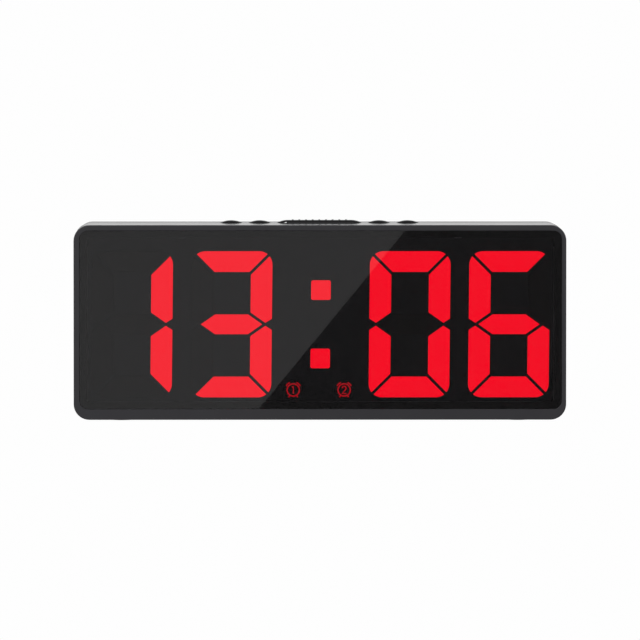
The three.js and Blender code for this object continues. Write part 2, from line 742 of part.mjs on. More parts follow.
function batteryBayCuts() {
  const [halfX, halfZ] = BAY_HALF;
  const cavity = block(-halfX, halfX, BAY_FLOOR_Y, REAR_Y + CUT, BAY_Z - halfZ, BAY_Z + halfZ);
  const seat = plate(
    roundedRect(-recess.x, recess.x, BAY_Z - recess.z, BAY_Z + recess.z, DOOR_CORNER, 3),
    DOOR_SEAT_Y,
    REAR_Y + CUT,
  );
  const slotZ = [BAY_Z - recess.z - TAB_LENGTH - 0.3, BAY_Z - halfZ + 0.1];
  const slots = [-TAB_X, TAB_X].map((x) =>
    blockAt(x, TAB_WIDTH + 0.6, DOOR_SEAT_Y - 1.4, DOOR_Y[0] + TAB_THICK, ...slotZ),
  );
  const scoopZ = BAY_Z + recess.z;
  const scoop = strip(
    [
      point(REAR_Y - 1.3, scoopZ - 0.5),
      point(REAR_Y + CUT, scoopZ - 0.5),
      point(REAR_Y + CUT, scoopZ + 2.6),
      point(REAR_Y, scoopZ + 2.6),
      point(REAR_Y - 1.3, scoopZ + 0.4),
    ],
    -LATCH_WIDTH / 2,
    LATCH_WIDTH / 2,
  );
  const tagHoles = [-1, 1].map((way) => {
    const z = BAY_Z + way * CELL_PITCH;
    const floor = [BAY_FLOOR_Y - BAY_WALL - CUT, BAY_FLOOR_Y + CUT];
    const half = TAG_WIDTH / 2 + 0.3;
    return blockAt(way * (halfX - 0.4), 1, ...floor, z - half, z + half);
  });
  return [cavity, seat, ...slots, scoop, ...tagHoles];
}

function housingOpenings() {
  const keyHoles = Object.values(BUTTON_X).map((x) =>
    rodZ(x, BUTTON_Y, BUTTON_RADIUS + BUTTON_GAP, WALL_UNDERSIDE - CUT, CASE_TOP + CUT, 20),
  );
  const snoozeHole = snoozeSlab(BUTTON_GAP, WALL_UNDERSIDE - CUT, CASE_TOP + CUT);
  const keyPilots = [-KEY_SCREW_X, KEY_SCREW_X].map((x) =>
    rodZ(x, BUTTON_Y, 0.85, KEY_BOARD_TOP - CUT, KEY_BOARD_TOP + 5, 8),
  );
  const screwWells = caseScrews.map(([x, z]) =>
    rodY(x, z, SCREW_HEAD_RADIUS + 0.3, SCREW_SEAT_Y, REAR_Y + CUT, 20),
  );
  const screwHoles = caseScrews.map(([x, z]) =>
    rodY(x, z, SCREW_RADIUS + 0.25, -CUT, SCREW_SEAT_Y + CUT, 12),
  );
  const [socketWidth, , socketHeight] = SOCKET_SIZE;
  const socketMiddle = POWER_BOARD_TOP + SEAT_GAP + socketHeight / 2;
  const socketWindow = plate(
    roundedRect(
      SOCKET_X - socketWidth / 2 - 0.3,
      SOCKET_X + socketWidth / 2 + 0.3,
      socketMiddle - socketHeight / 2 - 0.3,
      socketMiddle + socketHeight / 2 + 0.3,
      0.8,
      2,
    ),
    REAR_Y - 2 * WALL,
    REAR_Y + CUT,
  );
  const soundSlots = Array.from({ length: SLOT_COUNT }, (_, i) => {
    const z = SOUNDER_Z + (i - (SLOT_COUNT - 1) / 2) * SLOT_PITCH;
    const [length, height] = SLOT_SIZE;
    return plate(
      roundedRect(
        SOUNDER_X - length / 2,
        SOUNDER_X + length / 2,
        z - height / 2,
        z + height / 2,
        height / 2 - 0.01,
        3,
      ),
      REAR_Y - 2 * WALL,
      REAR_Y + CUT,
    );
  });
  const keys = [...keyHoles, snoozeHole, ...keyPilots];
  return [...keys, ...screwWells, ...screwHoles, socketWindow, ...soundSlots];
}

// ---- Battery door ----

// The plate turns about its lower outer edge, which bears on the housing, and two tabs hook inside.
function batteryDoor() {
  const [halfX, halfZ] = DOOR_HALF;
  const bottom = BAY_Z - halfZ;
  const top = BAY_Z + halfZ;
  const panel = plate(roundedRect(-halfX, halfX, bottom, top, DOOR_CORNER, 3), ...DOOR_Y);
  const tabY = [DOOR_Y[0] - CLEARANCE, DOOR_Y[0] + TAB_THICK - 0.25];
  const tabs = [-TAB_X, TAB_X].map((x) =>
    blockAt(x, TAB_WIDTH, ...tabY, bottom - TAB_LENGTH, bottom + 2),
  );
  const slots = [-1, 1].map((way) => {
    const x = (way * (LATCH_WIDTH + LATCH_SLOT)) / 2;
    return blockAt(x, LATCH_SLOT, DOOR_Y[0] - CUT, DOOR_Y[1] + CUT, top - LATCH_LENGTH, top + CUT);
  });
  const ribs = [0, 1, 2].map((i) => {
    const z = top - 2 - i * 1.6;
    const height = [DOOR_Y[1] - LATCH_RIB, DOOR_Y[1] + LATCH_RIB];
    return blockAt(0, LATCH_WIDTH - 2, ...height, z - 0.35, z + 0.35);
  });
  return cut(join(panel, ...tabs, ...ribs), ...slots);
}

// ---- Battery cells and contacts ----

const cellZ = (cell) => BAY_Z + (cell - 1) * CELL_PITCH;
const positiveWay = (cell) => (cell === 1 ? 1 : -1); // the middle cell lies the other way round

function batteryCell(cell) {
  const half = CELL_LENGTH / 2;
  const way = positiveWay(cell);
  const profile = [
    [0, -half],
    [CELL_RADIUS - 0.4, -half],
    [CELL_RADIUS, -half + 0.4],
    [CELL_RADIUS, half - 1.2],
    [CELL_RADIUS - 0.4, half - 0.8],
    [1.9, half - 0.8],
    [1.9, half],
    [0, half],
  ];
  const flipped = profile.map(([r, h]) => [r, h * way]);
  if (way < 0) flipped.reverse();
  return turnedX(flipped, way * CELL_SHIFT, CELL_Y, cellZ(cell), 20);
}

const PLATE_FACE_X = BAY_HALF[0] - CLEARANCE - CONTACT_THICK;

// A contact plate at one end of the bay, with a dimple or a spring for each cell that it serves.
function contact(way, cells, tagCell) {
  const x0 = Math.min(way * PLATE_FACE_X, way * (PLATE_FACE_X + CONTACT_THICK));
  const x1 = x0 + CONTACT_THICK;
  const low = cellZ(cells[0]) - CONTACT_MARGIN;
  const high = cellZ(cells[cells.length - 1]) + CONTACT_MARGIN;
  const parts = [block(x0, x1, BAY_FLOOR_Y + CLEARANCE, CELL_Y + CONTACT_MARGIN, low, high)];
  for (const cell of cells) {
    const isPositive = positiveWay(cell) === way;
    const cellEnd = CELL_LENGTH / 2 + (isPositive ? CELL_SHIFT : -CELL_SHIFT);
    const reach = PLATE_FACE_X - cellEnd - CLEARANCE;
    const [rootRadius, tipRadius] = isPositive ? [2.2, 1.4] : [3.4, 2.2];
    const profile = [
      [0, -0.2],
      [rootRadius, -0.2],
      [tipRadius, reach],
      [0, reach],
    ].map(([r, h]) => [r, -way * h]);
    if (way > 0) profile.reverse();
    parts.push(turnedX(profile, way * PLATE_FACE_X, CELL_Y, cellZ(cell), 12));
  }
  if (tagCell !== undefined) {
    const z = cellZ(tagCell);
    const tagY = [BAY_FLOOR_Y - BAY_WALL - 1.6, BAY_FLOOR_Y + 1];
    parts.push(block(x0, x1, ...tagY, z - TAG_WIDTH / 2, z + TAG_WIDTH / 2));
  }
  return join(...parts);
}

// ---- Power inlet ----

function powerSocket() {
  const [width, length, height] = SOCKET_SIZE;
  const bottom = POWER_BOARD_TOP + SEAT_GAP;
  const middle = bottom + height / 2;
  const [left, right] = [SOCKET_X - width / 2, SOCKET_X + width / 2];
  const outer = roundedRect(left, right, bottom, bottom + height, 0.7, 2);
  const bore = roundedRect(
    left + SOCKET_WALL,
    right - SOCKET_WALL,
    bottom + SOCKET_WALL,
    bottom + height - SOCKET_WALL,
    0.5,
    2,
  );
  const tongue = block(
    SOCKET_X - 1.9,
    SOCKET_X + 1.9,
    SOCKET_MOUTH_Y - length + 0.5,
    SOCKET_MOUTH_Y - 0.7,
    middle - 0.1,
    middle + 0.5,
  );
  const shell = plate(outer, SOCKET_MOUTH_Y - length, SOCKET_MOUTH_Y);
  return cut(shell, plate(bore, SOCKET_MOUTH_Y - length + 1, SOCKET_MOUTH_Y + CUT)).add(tongue);
}

// ---- Assembly ----

addPart("front_frame", frontFrame(), FINISH.frame());
addPart("front_lens", plate(lensOutline(0), ...LENS_Y), FINISH.lens());
const tapeHole = lensOutline(TAPE_INSET + TAPE_WIDTH);
addPart("lens_tape", plate(lensOutline(TAPE_INSET), ...TAPE_Y, [tapeHole]), FINISH.tape());
addPart("segment_mask", segmentMask(), FINISH.mask());
for (const digit of DIGIT_OFFSETS.keys())
  addPart(`digit_${digit + 1}_diffuser`, digitDiffuser(digit), FINISH.diffuser());
addPart("centre_diffuser", centreDiffuser(), FINISH.diffuser());
addPart("reflector_frame", reflectorFrame(), FINISH.reflector());
addPart("display_board", displayBoard(), FINISH.circuit());
for (const [i, [x, z]] of boardScrews.entries()) {
  const { head, headHeight, radius, length } = BOARD_SCREW;
  const seat = BOARD_Y[1] + SEAT_GAP;
  const solid = screw(x, seat, z, head, headHeight, radius, seat - length);
  addPart(`board_screw_${i + 1}`, solid, FINISH.steel());
}

const boardBack = BOARD_Y[1] + SEAT_GAP;
const onBoard = ({ x, z, width, height, depth }, corner) =>
  plate(
    roundedRect(x - width / 2, x + width / 2, z - height / 2, z + height / 2, corner, 4),
    boardBack,
    boardBack + depth,
  );
addPart("driver_chip", onBoard(DRIVER_CHIP, 0.3), FINISH.chip());
addPart("crystal", onBoard(CRYSTAL, 2.2), FINISH.steel());
addPart(
  "capacitor",
  rodY(CAPACITOR.x, CAPACITOR.z, CAPACITOR.radius, boardBack, boardBack + CAPACITOR.depth),
  FINISH.chip(),
);
const sounderBack = boardBack + SOUNDER_DEPTH;
addPart(
  "sounder",
  cut(
    rodY(SOUNDER_X, SOUNDER_Z, SOUNDER_RADIUS, boardBack, sounderBack, 20),
    rodY(SOUNDER_X, SOUNDER_Z, SOUND_HOLE_RADIUS, sounderBack - 1.5, sounderBack + CUT, 10),
  ),
  FINISH.chip(),
);

addPart("key_board", keyBoard(), FINISH.circuit());
for (const [i, x] of [-KEY_SCREW_X, KEY_SCREW_X].entries()) {
  const bottom = KEY_BOARD_TOP - KEY_BOARD_THICK - SEAT_GAP;
  const { head, headHeight, radius, length } = BOARD_SCREW;
  const profile = [
    [0, bottom - headHeight],
    [head * 0.7, bottom - headHeight],
    [head, bottom - headHeight * 0.55],
    [head, bottom],
    [radius, bottom],
    [radius, bottom + length - 0.6],
    [0, bottom + length],
  ];
  addPart(`key_board_screw_${i + 1}`, turnedZ(profile, x, BUTTON_Y, 0, 12), FINISH.steel());
}
for (const [name, x] of Object.entries({ ...BUTTON_X, snooze: 0 })) {
  addPart(`${name}_switch`, switchBody(x), FINISH.chip());
  addPart(`${name}_plunger`, switchPlunger(x), FINISH.chip());
}
for (const [name, x] of Object.entries(BUTTON_X))
  addPart(`${name}_button`, roundButton(x), FINISH.button());
addPart("snooze_bar", snoozeBar(), FINISH.button());

// The ribbon drops from the key board's front edge to the display board.
const ribbonPath = new THREE.QuadraticBezierCurve(
  point(BUTTON_Y - KEY_BOARD_HALF[1] - 0.4, KEY_BOARD_TOP - 0.6),
  point(boardBack + 1.5, KEY_BOARD_TOP - 0.6),
  point(boardBack + 0.4, 43),
).getPoints(6);
const ribbonInner = ribbonPath.map((p) => point(p.x + 0.25, p.y - 0.35));
const ribbon = strip([...ribbonPath, ...ribbonInner.reverse()], ...RIBBON_X);
addPart("key_ribbon", ribbon, FINISH.ribbon());

addPart("rear_housing", rearHousing(), FINISH.housing());
addPart("battery_door", batteryDoor(), FINISH.housing());
for (const cell of [0, 1, 2]) addPart(`battery_cell_${cell + 1}`, batteryCell(cell), FINISH.cell());
addPart("positive_contact", contact(-1, [0], 0), FINISH.steel());
addPart("negative_contact", contact(1, [2], 2), FINISH.steel());
addPart("left_bridge_contact", contact(-1, [1, 2]), FINISH.steel());
addPart("right_bridge_contact", contact(1, [0, 1]), FINISH.steel());

// Leads run from the contacts' tags to the display board, clear of the clamping posts.
const tagY = BAY_FLOOR_Y - BAY_WALL - 2.7;
const leadEnd = boardBack + 0.8;
const leadRoute = (way, z, endZ) => [
  [way * (PLATE_FACE_X + 0.2), tagY, z],
  [way * (PLATE_FACE_X + 1.5), tagY - 3.2, z + 0.8],
  [way * 31, -4.4, (z + endZ) / 2],
  [way * 34, leadEnd, endZ],
];
const lead = (...route) => wire(leadRoute(...route), LEAD_RADIUS, 14);
addPart("battery_lead_red", lead(-1, cellZ(0), 24), FINISH.redWire());
addPart("battery_lead_black", lead(1, cellZ(2), 34), FINISH.blackWire());

addPart(
  "power_board",
  blockAt(
    SOCKET_X,
    2 * POWER_BOARD_HALF,
    ...POWER_BOARD_Y,
    POWER_BOARD_TOP - POWER_BOARD_THICK,
    POWER_BOARD_TOP,
  ),
  FINISH.circuit(),
);
addPart("power_socket", powerSocket(), FINISH.steel());
addPart(
  "power_lead",
  wire(
    [
      [SOCKET_X, 4.1, POWER_BOARD_TOP - 0.6],
      [SOCKET_X, 0.5, POWER_BOARD_TOP + 0.2],
      [SOCKET_X + 1, -3.5, POWER_BOARD_TOP + 4],
      [SOCKET_X + 2, leadEnd, POWER_BOARD_TOP + 7],
    ],
    POWER_LEAD_RADIUS,
    12,
  ),
  FINISH.blackWire(),
);

const caseScrew = [SCREW_HEAD_RADIUS, SCREW_HEAD_HEIGHT, SCREW_RADIUS, SCREW_TIP_Y];
for (const [i, [x, z]] of caseScrews.entries())
  addPart(
    `case_screw_${i + 1}`,
    screw(x, SCREW_SEAT_Y + SEAT_GAP, z, ...caseScrew),
    FINISH.steel(),
  );
for (const [i, [x, y]] of footPlaces.entries())
  addPart(`foot_${i + 1}`, rodZ(x, y, FOOT_RADIUS, 0, FOOT_HEIGHT, 20), FINISH.rubber());

export default clock;
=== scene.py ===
"""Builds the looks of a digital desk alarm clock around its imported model.

A smoked acrylic lens covers red lit digits in a satin frame, and a gloss rear housing carries domed
keys on its top and a battery bay, a power socket and sound slots on its back.
The file is laid out as an add-on and is run as a script.
"""

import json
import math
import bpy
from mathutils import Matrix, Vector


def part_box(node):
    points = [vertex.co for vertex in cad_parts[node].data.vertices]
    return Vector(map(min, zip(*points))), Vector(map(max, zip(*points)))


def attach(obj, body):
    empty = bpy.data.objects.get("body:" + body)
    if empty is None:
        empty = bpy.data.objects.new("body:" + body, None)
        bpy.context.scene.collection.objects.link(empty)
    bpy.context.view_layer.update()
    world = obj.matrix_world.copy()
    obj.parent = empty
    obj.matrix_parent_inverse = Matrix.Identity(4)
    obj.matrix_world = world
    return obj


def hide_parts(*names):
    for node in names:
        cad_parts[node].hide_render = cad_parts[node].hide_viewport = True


bl_info = {
    "name": "Desk Alarm Clock",
    "version": (1, 0, 0),
    "blender": (4, 5, 0),
    "location": "View3D > Sidebar > Clock",
    "description": "Builds the visible pieces of a digital desk alarm clock",
    "category": "Add Mesh",
}

import bmesh
import bpy
from bpy.props import FloatProperty, FloatVectorProperty, IntProperty, PointerProperty, StringProperty
from mathutils import Matrix, Vector

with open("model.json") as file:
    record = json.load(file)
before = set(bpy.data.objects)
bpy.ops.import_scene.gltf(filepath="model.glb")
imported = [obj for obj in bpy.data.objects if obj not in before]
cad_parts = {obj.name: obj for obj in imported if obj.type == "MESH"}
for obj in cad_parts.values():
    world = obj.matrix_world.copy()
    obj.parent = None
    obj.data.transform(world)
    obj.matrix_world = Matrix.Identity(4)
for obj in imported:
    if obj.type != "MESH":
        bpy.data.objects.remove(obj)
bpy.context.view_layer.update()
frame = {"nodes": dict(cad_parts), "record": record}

MM = 0.001
DEGREE = math.radians(1)
CLEARANCE = 0.1 * MM
# Keeps two faces or two ends of an outline from falling together
HAIRLINE = 0.02 * MM
KEYS = ("set", "alarm", "down", "up")
# How much brighter a lit segment is than it looks through the smoke
LIT_GAIN = 2.6
# An alarm sign's fine lines let less light through than a segment
SIGN_GAIN = 0.38 * LIT_GAIN
NICKEL = "#b4b6b9"
SIGN_PLACES = ((-8.36 * MM, 9.55 * MM), (7.57 * MM, 9.55 * MM))
# The alarm signs' numbers as single strokes, in half heights of a number
NUMBER_STROKES = (
    ((-0.35, 0.65), (0.05, 1), (0.05, -1)),
    ((-0.5, 0.5), (-0.4, 0.85), (0, 1), (0.4, 0.85), (0.5, 0.5), (0.35, 0.1), (-0.55, -1), (0.6, -1)),
)

# Each lamp's place and size in metres, and its power in watts
LAMPS = {
    "key": ((-0.9, -1.0, 1.3), 0.9, 16),
    "fill": ((1.2, -0.8, 0.7), 1.0, 5),
    "glint": ((-0.17, 0.98, 1.26), 0.16, 0.8),
    "corner": ((-1.1, -0.05, 1.0), 0.3, 2),
    "back": ((1.4, 1.0, 0.8), 0.9, 14),
    "back_fill": ((-1.5, 0.9, 0.4), 0.7, 6),
}

# The world's grey levels at these sines of the height angle
SKY_STUDIO = ((-1.0, 0.35), (-0.05, 0.42), (0.05, 0.5), (1.0, 0.8))
SKY_BACKDROP = ((-0.1, 0.15), (0.0, 0.2), (0.03, 0.88), (0.06, 0.88))
SKY_BACKDROP += ((0.1, 0.2), (0.45, 0.16), (0.65, 0.03), (1.0, 0.4))

LIT_SEGMENTS = {
    "0": "abcdef",
    "1": "bc",
    "2": "abdeg",
    "3": "abcdg",
    "4": "bcfg",
    "5": "acdfg",
    "6": "acdefg",
    "7": "abc",
    "8": "abcdefg",
    "9": "abcdfg",
}


# ---- Settings ----


def length(name, description, millimetres):
    """A size setting, given in millimetres and kept in metres."""
    return FloatProperty(
        name=name,
        description=description,
        default=millimetres * MM,
        precision=5,
        subtype="DISTANCE",
        unit="LENGTH",
    )


def angle(name, description, degrees):
    """An angle setting, given in degrees and kept in radians."""
    return FloatProperty(name=name, description=description, default=degrees * DEGREE, subtype="ANGLE")


def face_place(name, description, x, z):
    """A place on the clock's face, given in millimetres from its middle and kept in metres."""
    place = (x * MM, z * MM)
    return FloatVectorProperty(
        name=name, description=description, default=place, size=2, subtype="XYZ", unit="LENGTH"
    )


def colour(name, description, code):
    """A colour setting, given as an sRGB hex code."""
    return StringProperty(name=name, description=description, default=code)


class ClockDisplaySettings(bpy.types.PropertyGroup):
    """Sizes and colours of the lens and of what shines through it."""

    time: StringProperty(name="Time", description="The four digits that are lit", default="1306")
    digit_width: length("Digit width", "Width of a digit across its segments", 25.2)
    digit_height: length("Digit height", "Height of a digit across its segments", 45.7)
    digit_corner: length("Digit corner", "Rounding of a digit's outer corners", 4.2)
    stroke: length("Stroke", "Width of an upright segment", 6.7)
    bar: length("Bar", "Height of the top and bottom segments", 6.45)
    middle_bar: length("Middle bar", "Height of the middle segment", 6.15)
    gap: length("Gap", "Gap between two segments", 0.95)
    tip_inset: length("Tip inset", "How far an upright's middle tip stands in from the side", 2.05)
    tip_rise: length("Tip rise", "Height of the chamfer outside that tip", 1.3)
    slant: angle("Slant", "Lean of the digits", 0.6)
    digit_margin: length("Digit margin", "How far a digit's sheet reaches past its segments", 0.6)
    colon_side: length("Colon side", "Side of a colon square", 6.1)
    colon_corner: length("Colon corner", "Rounding of a colon square's corners", 0.6)
    colon_offset: length("Colon offset", "Colon square above or below the middle", 10.7)
    sign_radius: length("Sign radius", "Radius of an alarm sign's dial", 1.92)
    sign_stroke: length("Sign stroke", "Line width of an alarm sign", 0.42)
    sheet: length("Sheet", "Thickness of the sheet that joins a digit's segments", 0.4)
    sign_window: length("Sign window", "Radius of the window behind an alarm sign", 3.05)
    lens_corner: length("Lens corner", "Corner radius of the lens", 2.6)
    lens_edge: length("Lens edge", "Rounding of the lens's polished edges", 0.06)
    unlit: colour("Unlit", "Body colour of an unlit segment", "#1a0a0b")
    lit: colour("Lit", "Colour of a lit segment as seen through the lens", "#f8001f")
    lens_tint: colour("Lens tint", "Smoke tint of the lens", "#a8a6a8")


class ClockCaseSettings(bpy.types.PropertyGroup):
    """Sizes and colours of the frame, the housing and the battery door."""

    corner: length("Corner", "Corner radius of the case, seen from the front", 4.9)
    wall: length("Wall", "Thickness of the case's walls", 1.9)
    ledge_width: length("Ledge width", "How far the ledge reaches in behind the lens", 2.2)
    ledge_thick: length("Ledge thickness", "Thickness of that ledge", 1.4)
    rim_round: length("Rim round", "Rounding of the frame's front edge", 0.25)
    lip_round: length("Lip round", "Rounding of the frame where it meets the lens", 0.08)
    seam: length("Seam", "Chamfer at the joint between frame and housing", 0.08)
    joint_lip: length("Joint lip", "Height of the lip that closes the joint to the eye", 0.09)
    edge: length("Edge", "Rounding of the housing's moulded edges", 0.12)
    frame_colour: colour("Frame", "Satin ABS of the front frame", "#252428")
    housing_colour: colour("Housing", "Gloss ABS of the rear housing", "#1c1c1f")


class ClockKeySettings(bpy.types.PropertyGroup):
    """Sizes and colours of the keys on the top."""

    cap_radius: length("Cap radius", "Radius of a round key", 3.4)
    stem_radius: length("Stem radius", "Radius of a key's stem", 1.6)
    flange: length("Flange thickness", "Thickness of the flange under the top wall", 0.85)
    shoulder: length("Shoulder", "Height above the case where a crown's dome starts", 0.06)
    snooze_width: length("Snooze width", "Width of the snooze bar", 6.8)
    guide_offset: length("Guide offset", "Guide pins of the snooze bar, from its middle", 10)
    guide_radius: length("Guide radius", "Radius of a guide pin", 0.9)
    rib_count: IntProperty(name="Ribs", description="Grip ribs on the snooze bar", default=9, min=1)
    rib_pitch: length("Rib pitch", "Distance between two grip ribs", 2.1)
    rib_width: length("Rib width", "Width of a grip rib", 0.6)
    rib_length: length("Rib length", "Length of a grip rib across the bar", 3)
    rib_height: length("Rib height", "Height of a grip rib", 0.15)
    colour: colour("Keys", "Polished black ABS of the keys", "#0d0d0f")


class ClockStageSettings(bpy.types.PropertyGroup):
    """The pale room, its light and the camera."""

    camera_distance: length("Camera distance", "From the lens's face to the camera", 2500)
    field_width: length("Field width", "Width of the view at the clock's face", 200.0)
    camera_azimuth: angle("Azimuth", "Camera's turn round the clock", -0.5)
    camera_elevation: angle("Elevation", "Camera's height angle", 2.58)
    aim_rise: length("Aim rise", "View's centre above the face's middle", 0.79)
    room_radius: length("Room radius", "Radius of the round floor and its wall", 4200)
    room_glow: FloatProperty(name="Room glow", description="Brightness of the room", default=0.99)
    card_distance: length("Card distance", "From the lens to the cards that it mirrors", 420)
    card_edge_top: face_place("Edge, top", "Upper end of the edge that the lens mirrors", 26.66, 28.73)
    card_edge_bottom: face_place("Edge, bottom", "Lower end of that edge", -19.23, -27.18)
    light_card: FloatProperty(name="Light card", description="Brightness of the light card", default=0.55)
    dark_card: FloatProperty(name="Dark card", description="Brightness of the dark card", default=0.024)


# ---- Mesh helpers ----


def centre_of(node):
    """Middle of a CAD node's box."""
    low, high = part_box(node)
    return (low + high) / 2


def arc(cx, cy, radius, start, end, steps):
    """Points of an arc between two angles in degrees, both ends included."""
    angles = (math.radians(start + (end - start) * i / steps) for i in range(steps + 1))
    return [(cx + radius * math.cos(a), cy + radius * math.sin(a)) for a in angles]


def circle(cx, cy, radius, steps=48):
    """Points of a whole circle."""
    return arc(cx, cy, radius, 0, 360 - 360 / steps, steps - 1)


def rounded_rect(x0, x1, z0, z1, radius, steps=10):
    """Outline of a rectangle with rounded corners, anticlockwise from its lower right corner."""
    corners = ((x1 - radius, z0 + radius, -90), (x1 - radius, z1 - radius, 0))
    corners += ((x0 + radius, z1 - radius, 90), (x0 + radius, z0 + radius, 180))
    return [p for cx, cz, turn in corners for p in arc(cx, cz, radius, turn, turn + 90, steps)]


def dome(radius, edge, crown, steps):
    """A crown's arc as (radius, height) pairs, from its edge to just short of its middle."""
    rise = crown - edge
    sphere = (radius**2 + rise**2) / (2 * rise)
    start = math.degrees(math.acos(radius / sphere))
    return arc(0, crown - sphere, sphere, start, 90, steps)[:-1]


def stadium(half_x, half_y, steps):
    """Outline of a bar with half-round ends, about its middle."""
    radius = min(half_x, half_y) - HAIRLINE / 2
    return rounded_rect(-half_x, half_x, -half_y, half_y, radius, steps)


def at_y(outline, y):
    """An outline in X and Z as points at this y."""
    return [(x, y, z) for x, z in outline]


def at_z(outline, z):
    """An outline in X and Y as points at this z."""
    return [(x, y, z) for x, y in outline]


def box_ring(box, inset, radius, y):
    """A rounded rectangle round a box, seen from the front and moved inwards by inset, at this y."""
    low, high = box
    return at_y(rounded_rect(low.x + inset, high.x - inset, low.z + inset, high.z - inset, radius), y)


def skin(rings, joined=False):
    """A closed bmesh through rings of points, capped at its ends or joined end to start."""
    bm = bmesh.new()
    rows = [[bm.verts.new(p) for p in ring] for ring in rings]
    pairs = list(zip(rows, rows[1:]))
    if joined:
        pairs.append((rows[-1], rows[0]))
    else:
        bm.faces.new(rows[0])
        bm.faces.new(rows[-1])
    for near, far in pairs:
        for i, start in enumerate(near):
            j = (i + 1) % len(near)
            bm.faces.new((start, near[j], far[j], far[i]))
    bmesh.ops.recalc_face_normals(bm, faces=bm.faces)
    return bm


def turned(profile, centre=(0, 0, 0), axis="Z", sides=48):
    """A bmesh of a profile of (radius, height) pairs turned about an axis, closed if it ends on the axis."""
    bm = bmesh.new()
    rows = []
    for radius, height in profile:
        if radius == 0:
            rows.append([bm.verts.new((0, 0, height))])
        else:
            rows.append([bm.verts.new(p) for p in at_z(circle(0, 0, radius, sides), height)])
    for near, far in zip(rows, rows[1:]):
        for i in range(sides):
            j = (i + 1) % sides
            corners = [near[i % len(near)], near[j % len(near)], far[j % len(far)], far[i % len(far)]]
            bm.faces.new(list(dict.fromkeys(corners)))
    bmesh.ops.recalc_face_normals(bm, faces=bm.faces)
    turns = {"Z": Matrix.Identity(4), "Y": Matrix.Rotation(-90 * DEGREE, 4, "X")}
    turns["X"] = Matrix.Rotation(90 * DEGREE, 4, "Y")
    bmesh.ops.transform(bm, matrix=Matrix.Translation(centre) @ turns[axis], verts=bm.verts)
    return bm


def merged(*parts):
    """One bmesh that holds several."""
    whole = parts[0]
    for part in parts[1:]:
        mesh = bpy.data.meshes.new("part")
        part.to_mesh(mesh)
        whole.from_mesh(mesh)
        bpy.data.meshes.remove(mesh)
        part.free()
    return whole


def linked(name, data):
    """An object with this data, linked to the scene."""
    obj = bpy.data.objects.new(name, data)
    bpy.context.scene.collection.objects.link(obj)
    return obj


def new_object(name, bm):
    """An object of this bmesh, linked to the scene."""
    mesh = bpy.data.meshes.new(name)
    bm.to_mesh(mesh)
    bm.free()
    return linked(name, mesh)


def cad_copy(node, name):
    """A copy of a CAD node with its loose triangles merged and its flat faces whole."""
    bm = bmesh.new()
    bm.from_mesh(frame["nodes"][node].data)
    bmesh.ops.remove_doubles(bm, verts=bm.verts, dist=0.002 * MM)
    bmesh.ops.dissolve_limit(bm, angle_limit=DEGREE, verts=bm.verts, edges=bm.edges)
    return new_object(name, bm)


def settle(obj, bevel=0.0, sharp=35.0, crisp_y=None):
    """Rounds edges, except at crisp_y, shades the faces and turns every modifier into plain mesh."""
    obj.data.shade_smooth()
    if bevel:
        bm = bmesh.new()
        bm.from_mesh(obj.data)
        weight = bm.edges.layers.float.new("bevel_weight_edge")
        for edge in bm.edges:
            crisp = crisp_y is not None and all(abs(v.co.y - crisp_y) < HAIRLINE / 2 for v in edge.verts)
            if len(edge.link_faces) == 2 and edge.calc_face_angle() > sharp * DEGREE:
                edge[weight] = 0.0 if crisp else 1.0
                edge.smooth = not crisp
        bm.to_mesh(obj.data)
        bm.free()
        rounding = obj.modifiers.new("Rounding", "BEVEL")
        rounding.width = bevel
        rounding.segments = 2
        rounding.limit_method = "WEIGHT"
    else:
        obj.data.set_sharp_from_angle(angle=sharp * DEGREE)
    weighted = obj.modifiers.new("Weighted", "WEIGHTED_NORMAL")
    weighted.keep_sharp = True
    bake_modifiers(obj)


def bake_modifiers(obj):
    """Replaces an object's mesh by its evaluated one."""
    evaluated = obj.evaluated_get(bpy.context.evaluated_depsgraph_get())
    mesh = bpy.data.meshes.new_from_object(evaluated)
    mesh.name = obj.name
    obj.modifiers.clear()
    obj.data = mesh


def boolean(obj, cutter, operation="DIFFERENCE"):
    """Cuts or joins one object with another, which is then removed."""
    change = obj.modifiers.new("Change", "BOOLEAN")
    change.operation = operation
    change.object = cutter
    change.solver = "EXACT"
    bake_modifiers(obj)
    bpy.data.objects.remove(cutter)


def finish_piece(obj, material, body, slot, nodes=()):
    """Gives a finished piece its material and its body, and hides the CAD nodes that it stands for. Its slot
    is not used.
    """
    obj.data.materials.clear()
    obj.data.materials.append(material)
    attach(obj, body)
    if nodes:
        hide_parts(*nodes)


def solid_piece(name, bm, finish, sharp=35.0):
    """A finished piece of this bmesh. Finish holds its material, body, slot and CAD nodes."""
    obj = new_object(name, bm)
    settle(obj, sharp=sharp)
    finish_piece(obj, *finish)


# ---- Node helpers ----

MADE = {}


def made_once(build):
    """Keeps a material or a node tree after its first making."""

    def get(*args):
        key = (build.__name__, *args)
        if key not in MADE:
            MADE[key] = build(*args)
        return MADE[key]

    return get


def linear(code):
    """An sRGB hex code as a linear colour."""
    channels = [int(code.lstrip("#")[i : i + 2], 16) / 255 for i in (0, 2, 4)]
    return [c / 12.92 if c <= 0.04045 else ((c + 0.055) / 1.055) ** 2.4 for c in channels] + [1.0]


def feed(node, inputs):
    """Sets each input of a node, or links it to a socket or to another node's first output."""
    for name, value in inputs.items():
        source = value.outputs[0] if isinstance(value, bpy.types.Node) else value
        if isinstance(source, bpy.types.NodeSocket):
            node.id_data.links.new(source, node.inputs[name])
        else:
            node.inputs[name].default_value = source


def add_node(tree, kind, inputs=None, **settings):
    """Adds a node with its settings, and sets or links its inputs."""
    node = tree.nodes.new(kind)
    for name, value in settings.items():
        setattr(node, name, value)
    feed(node, inputs or {})
    return node


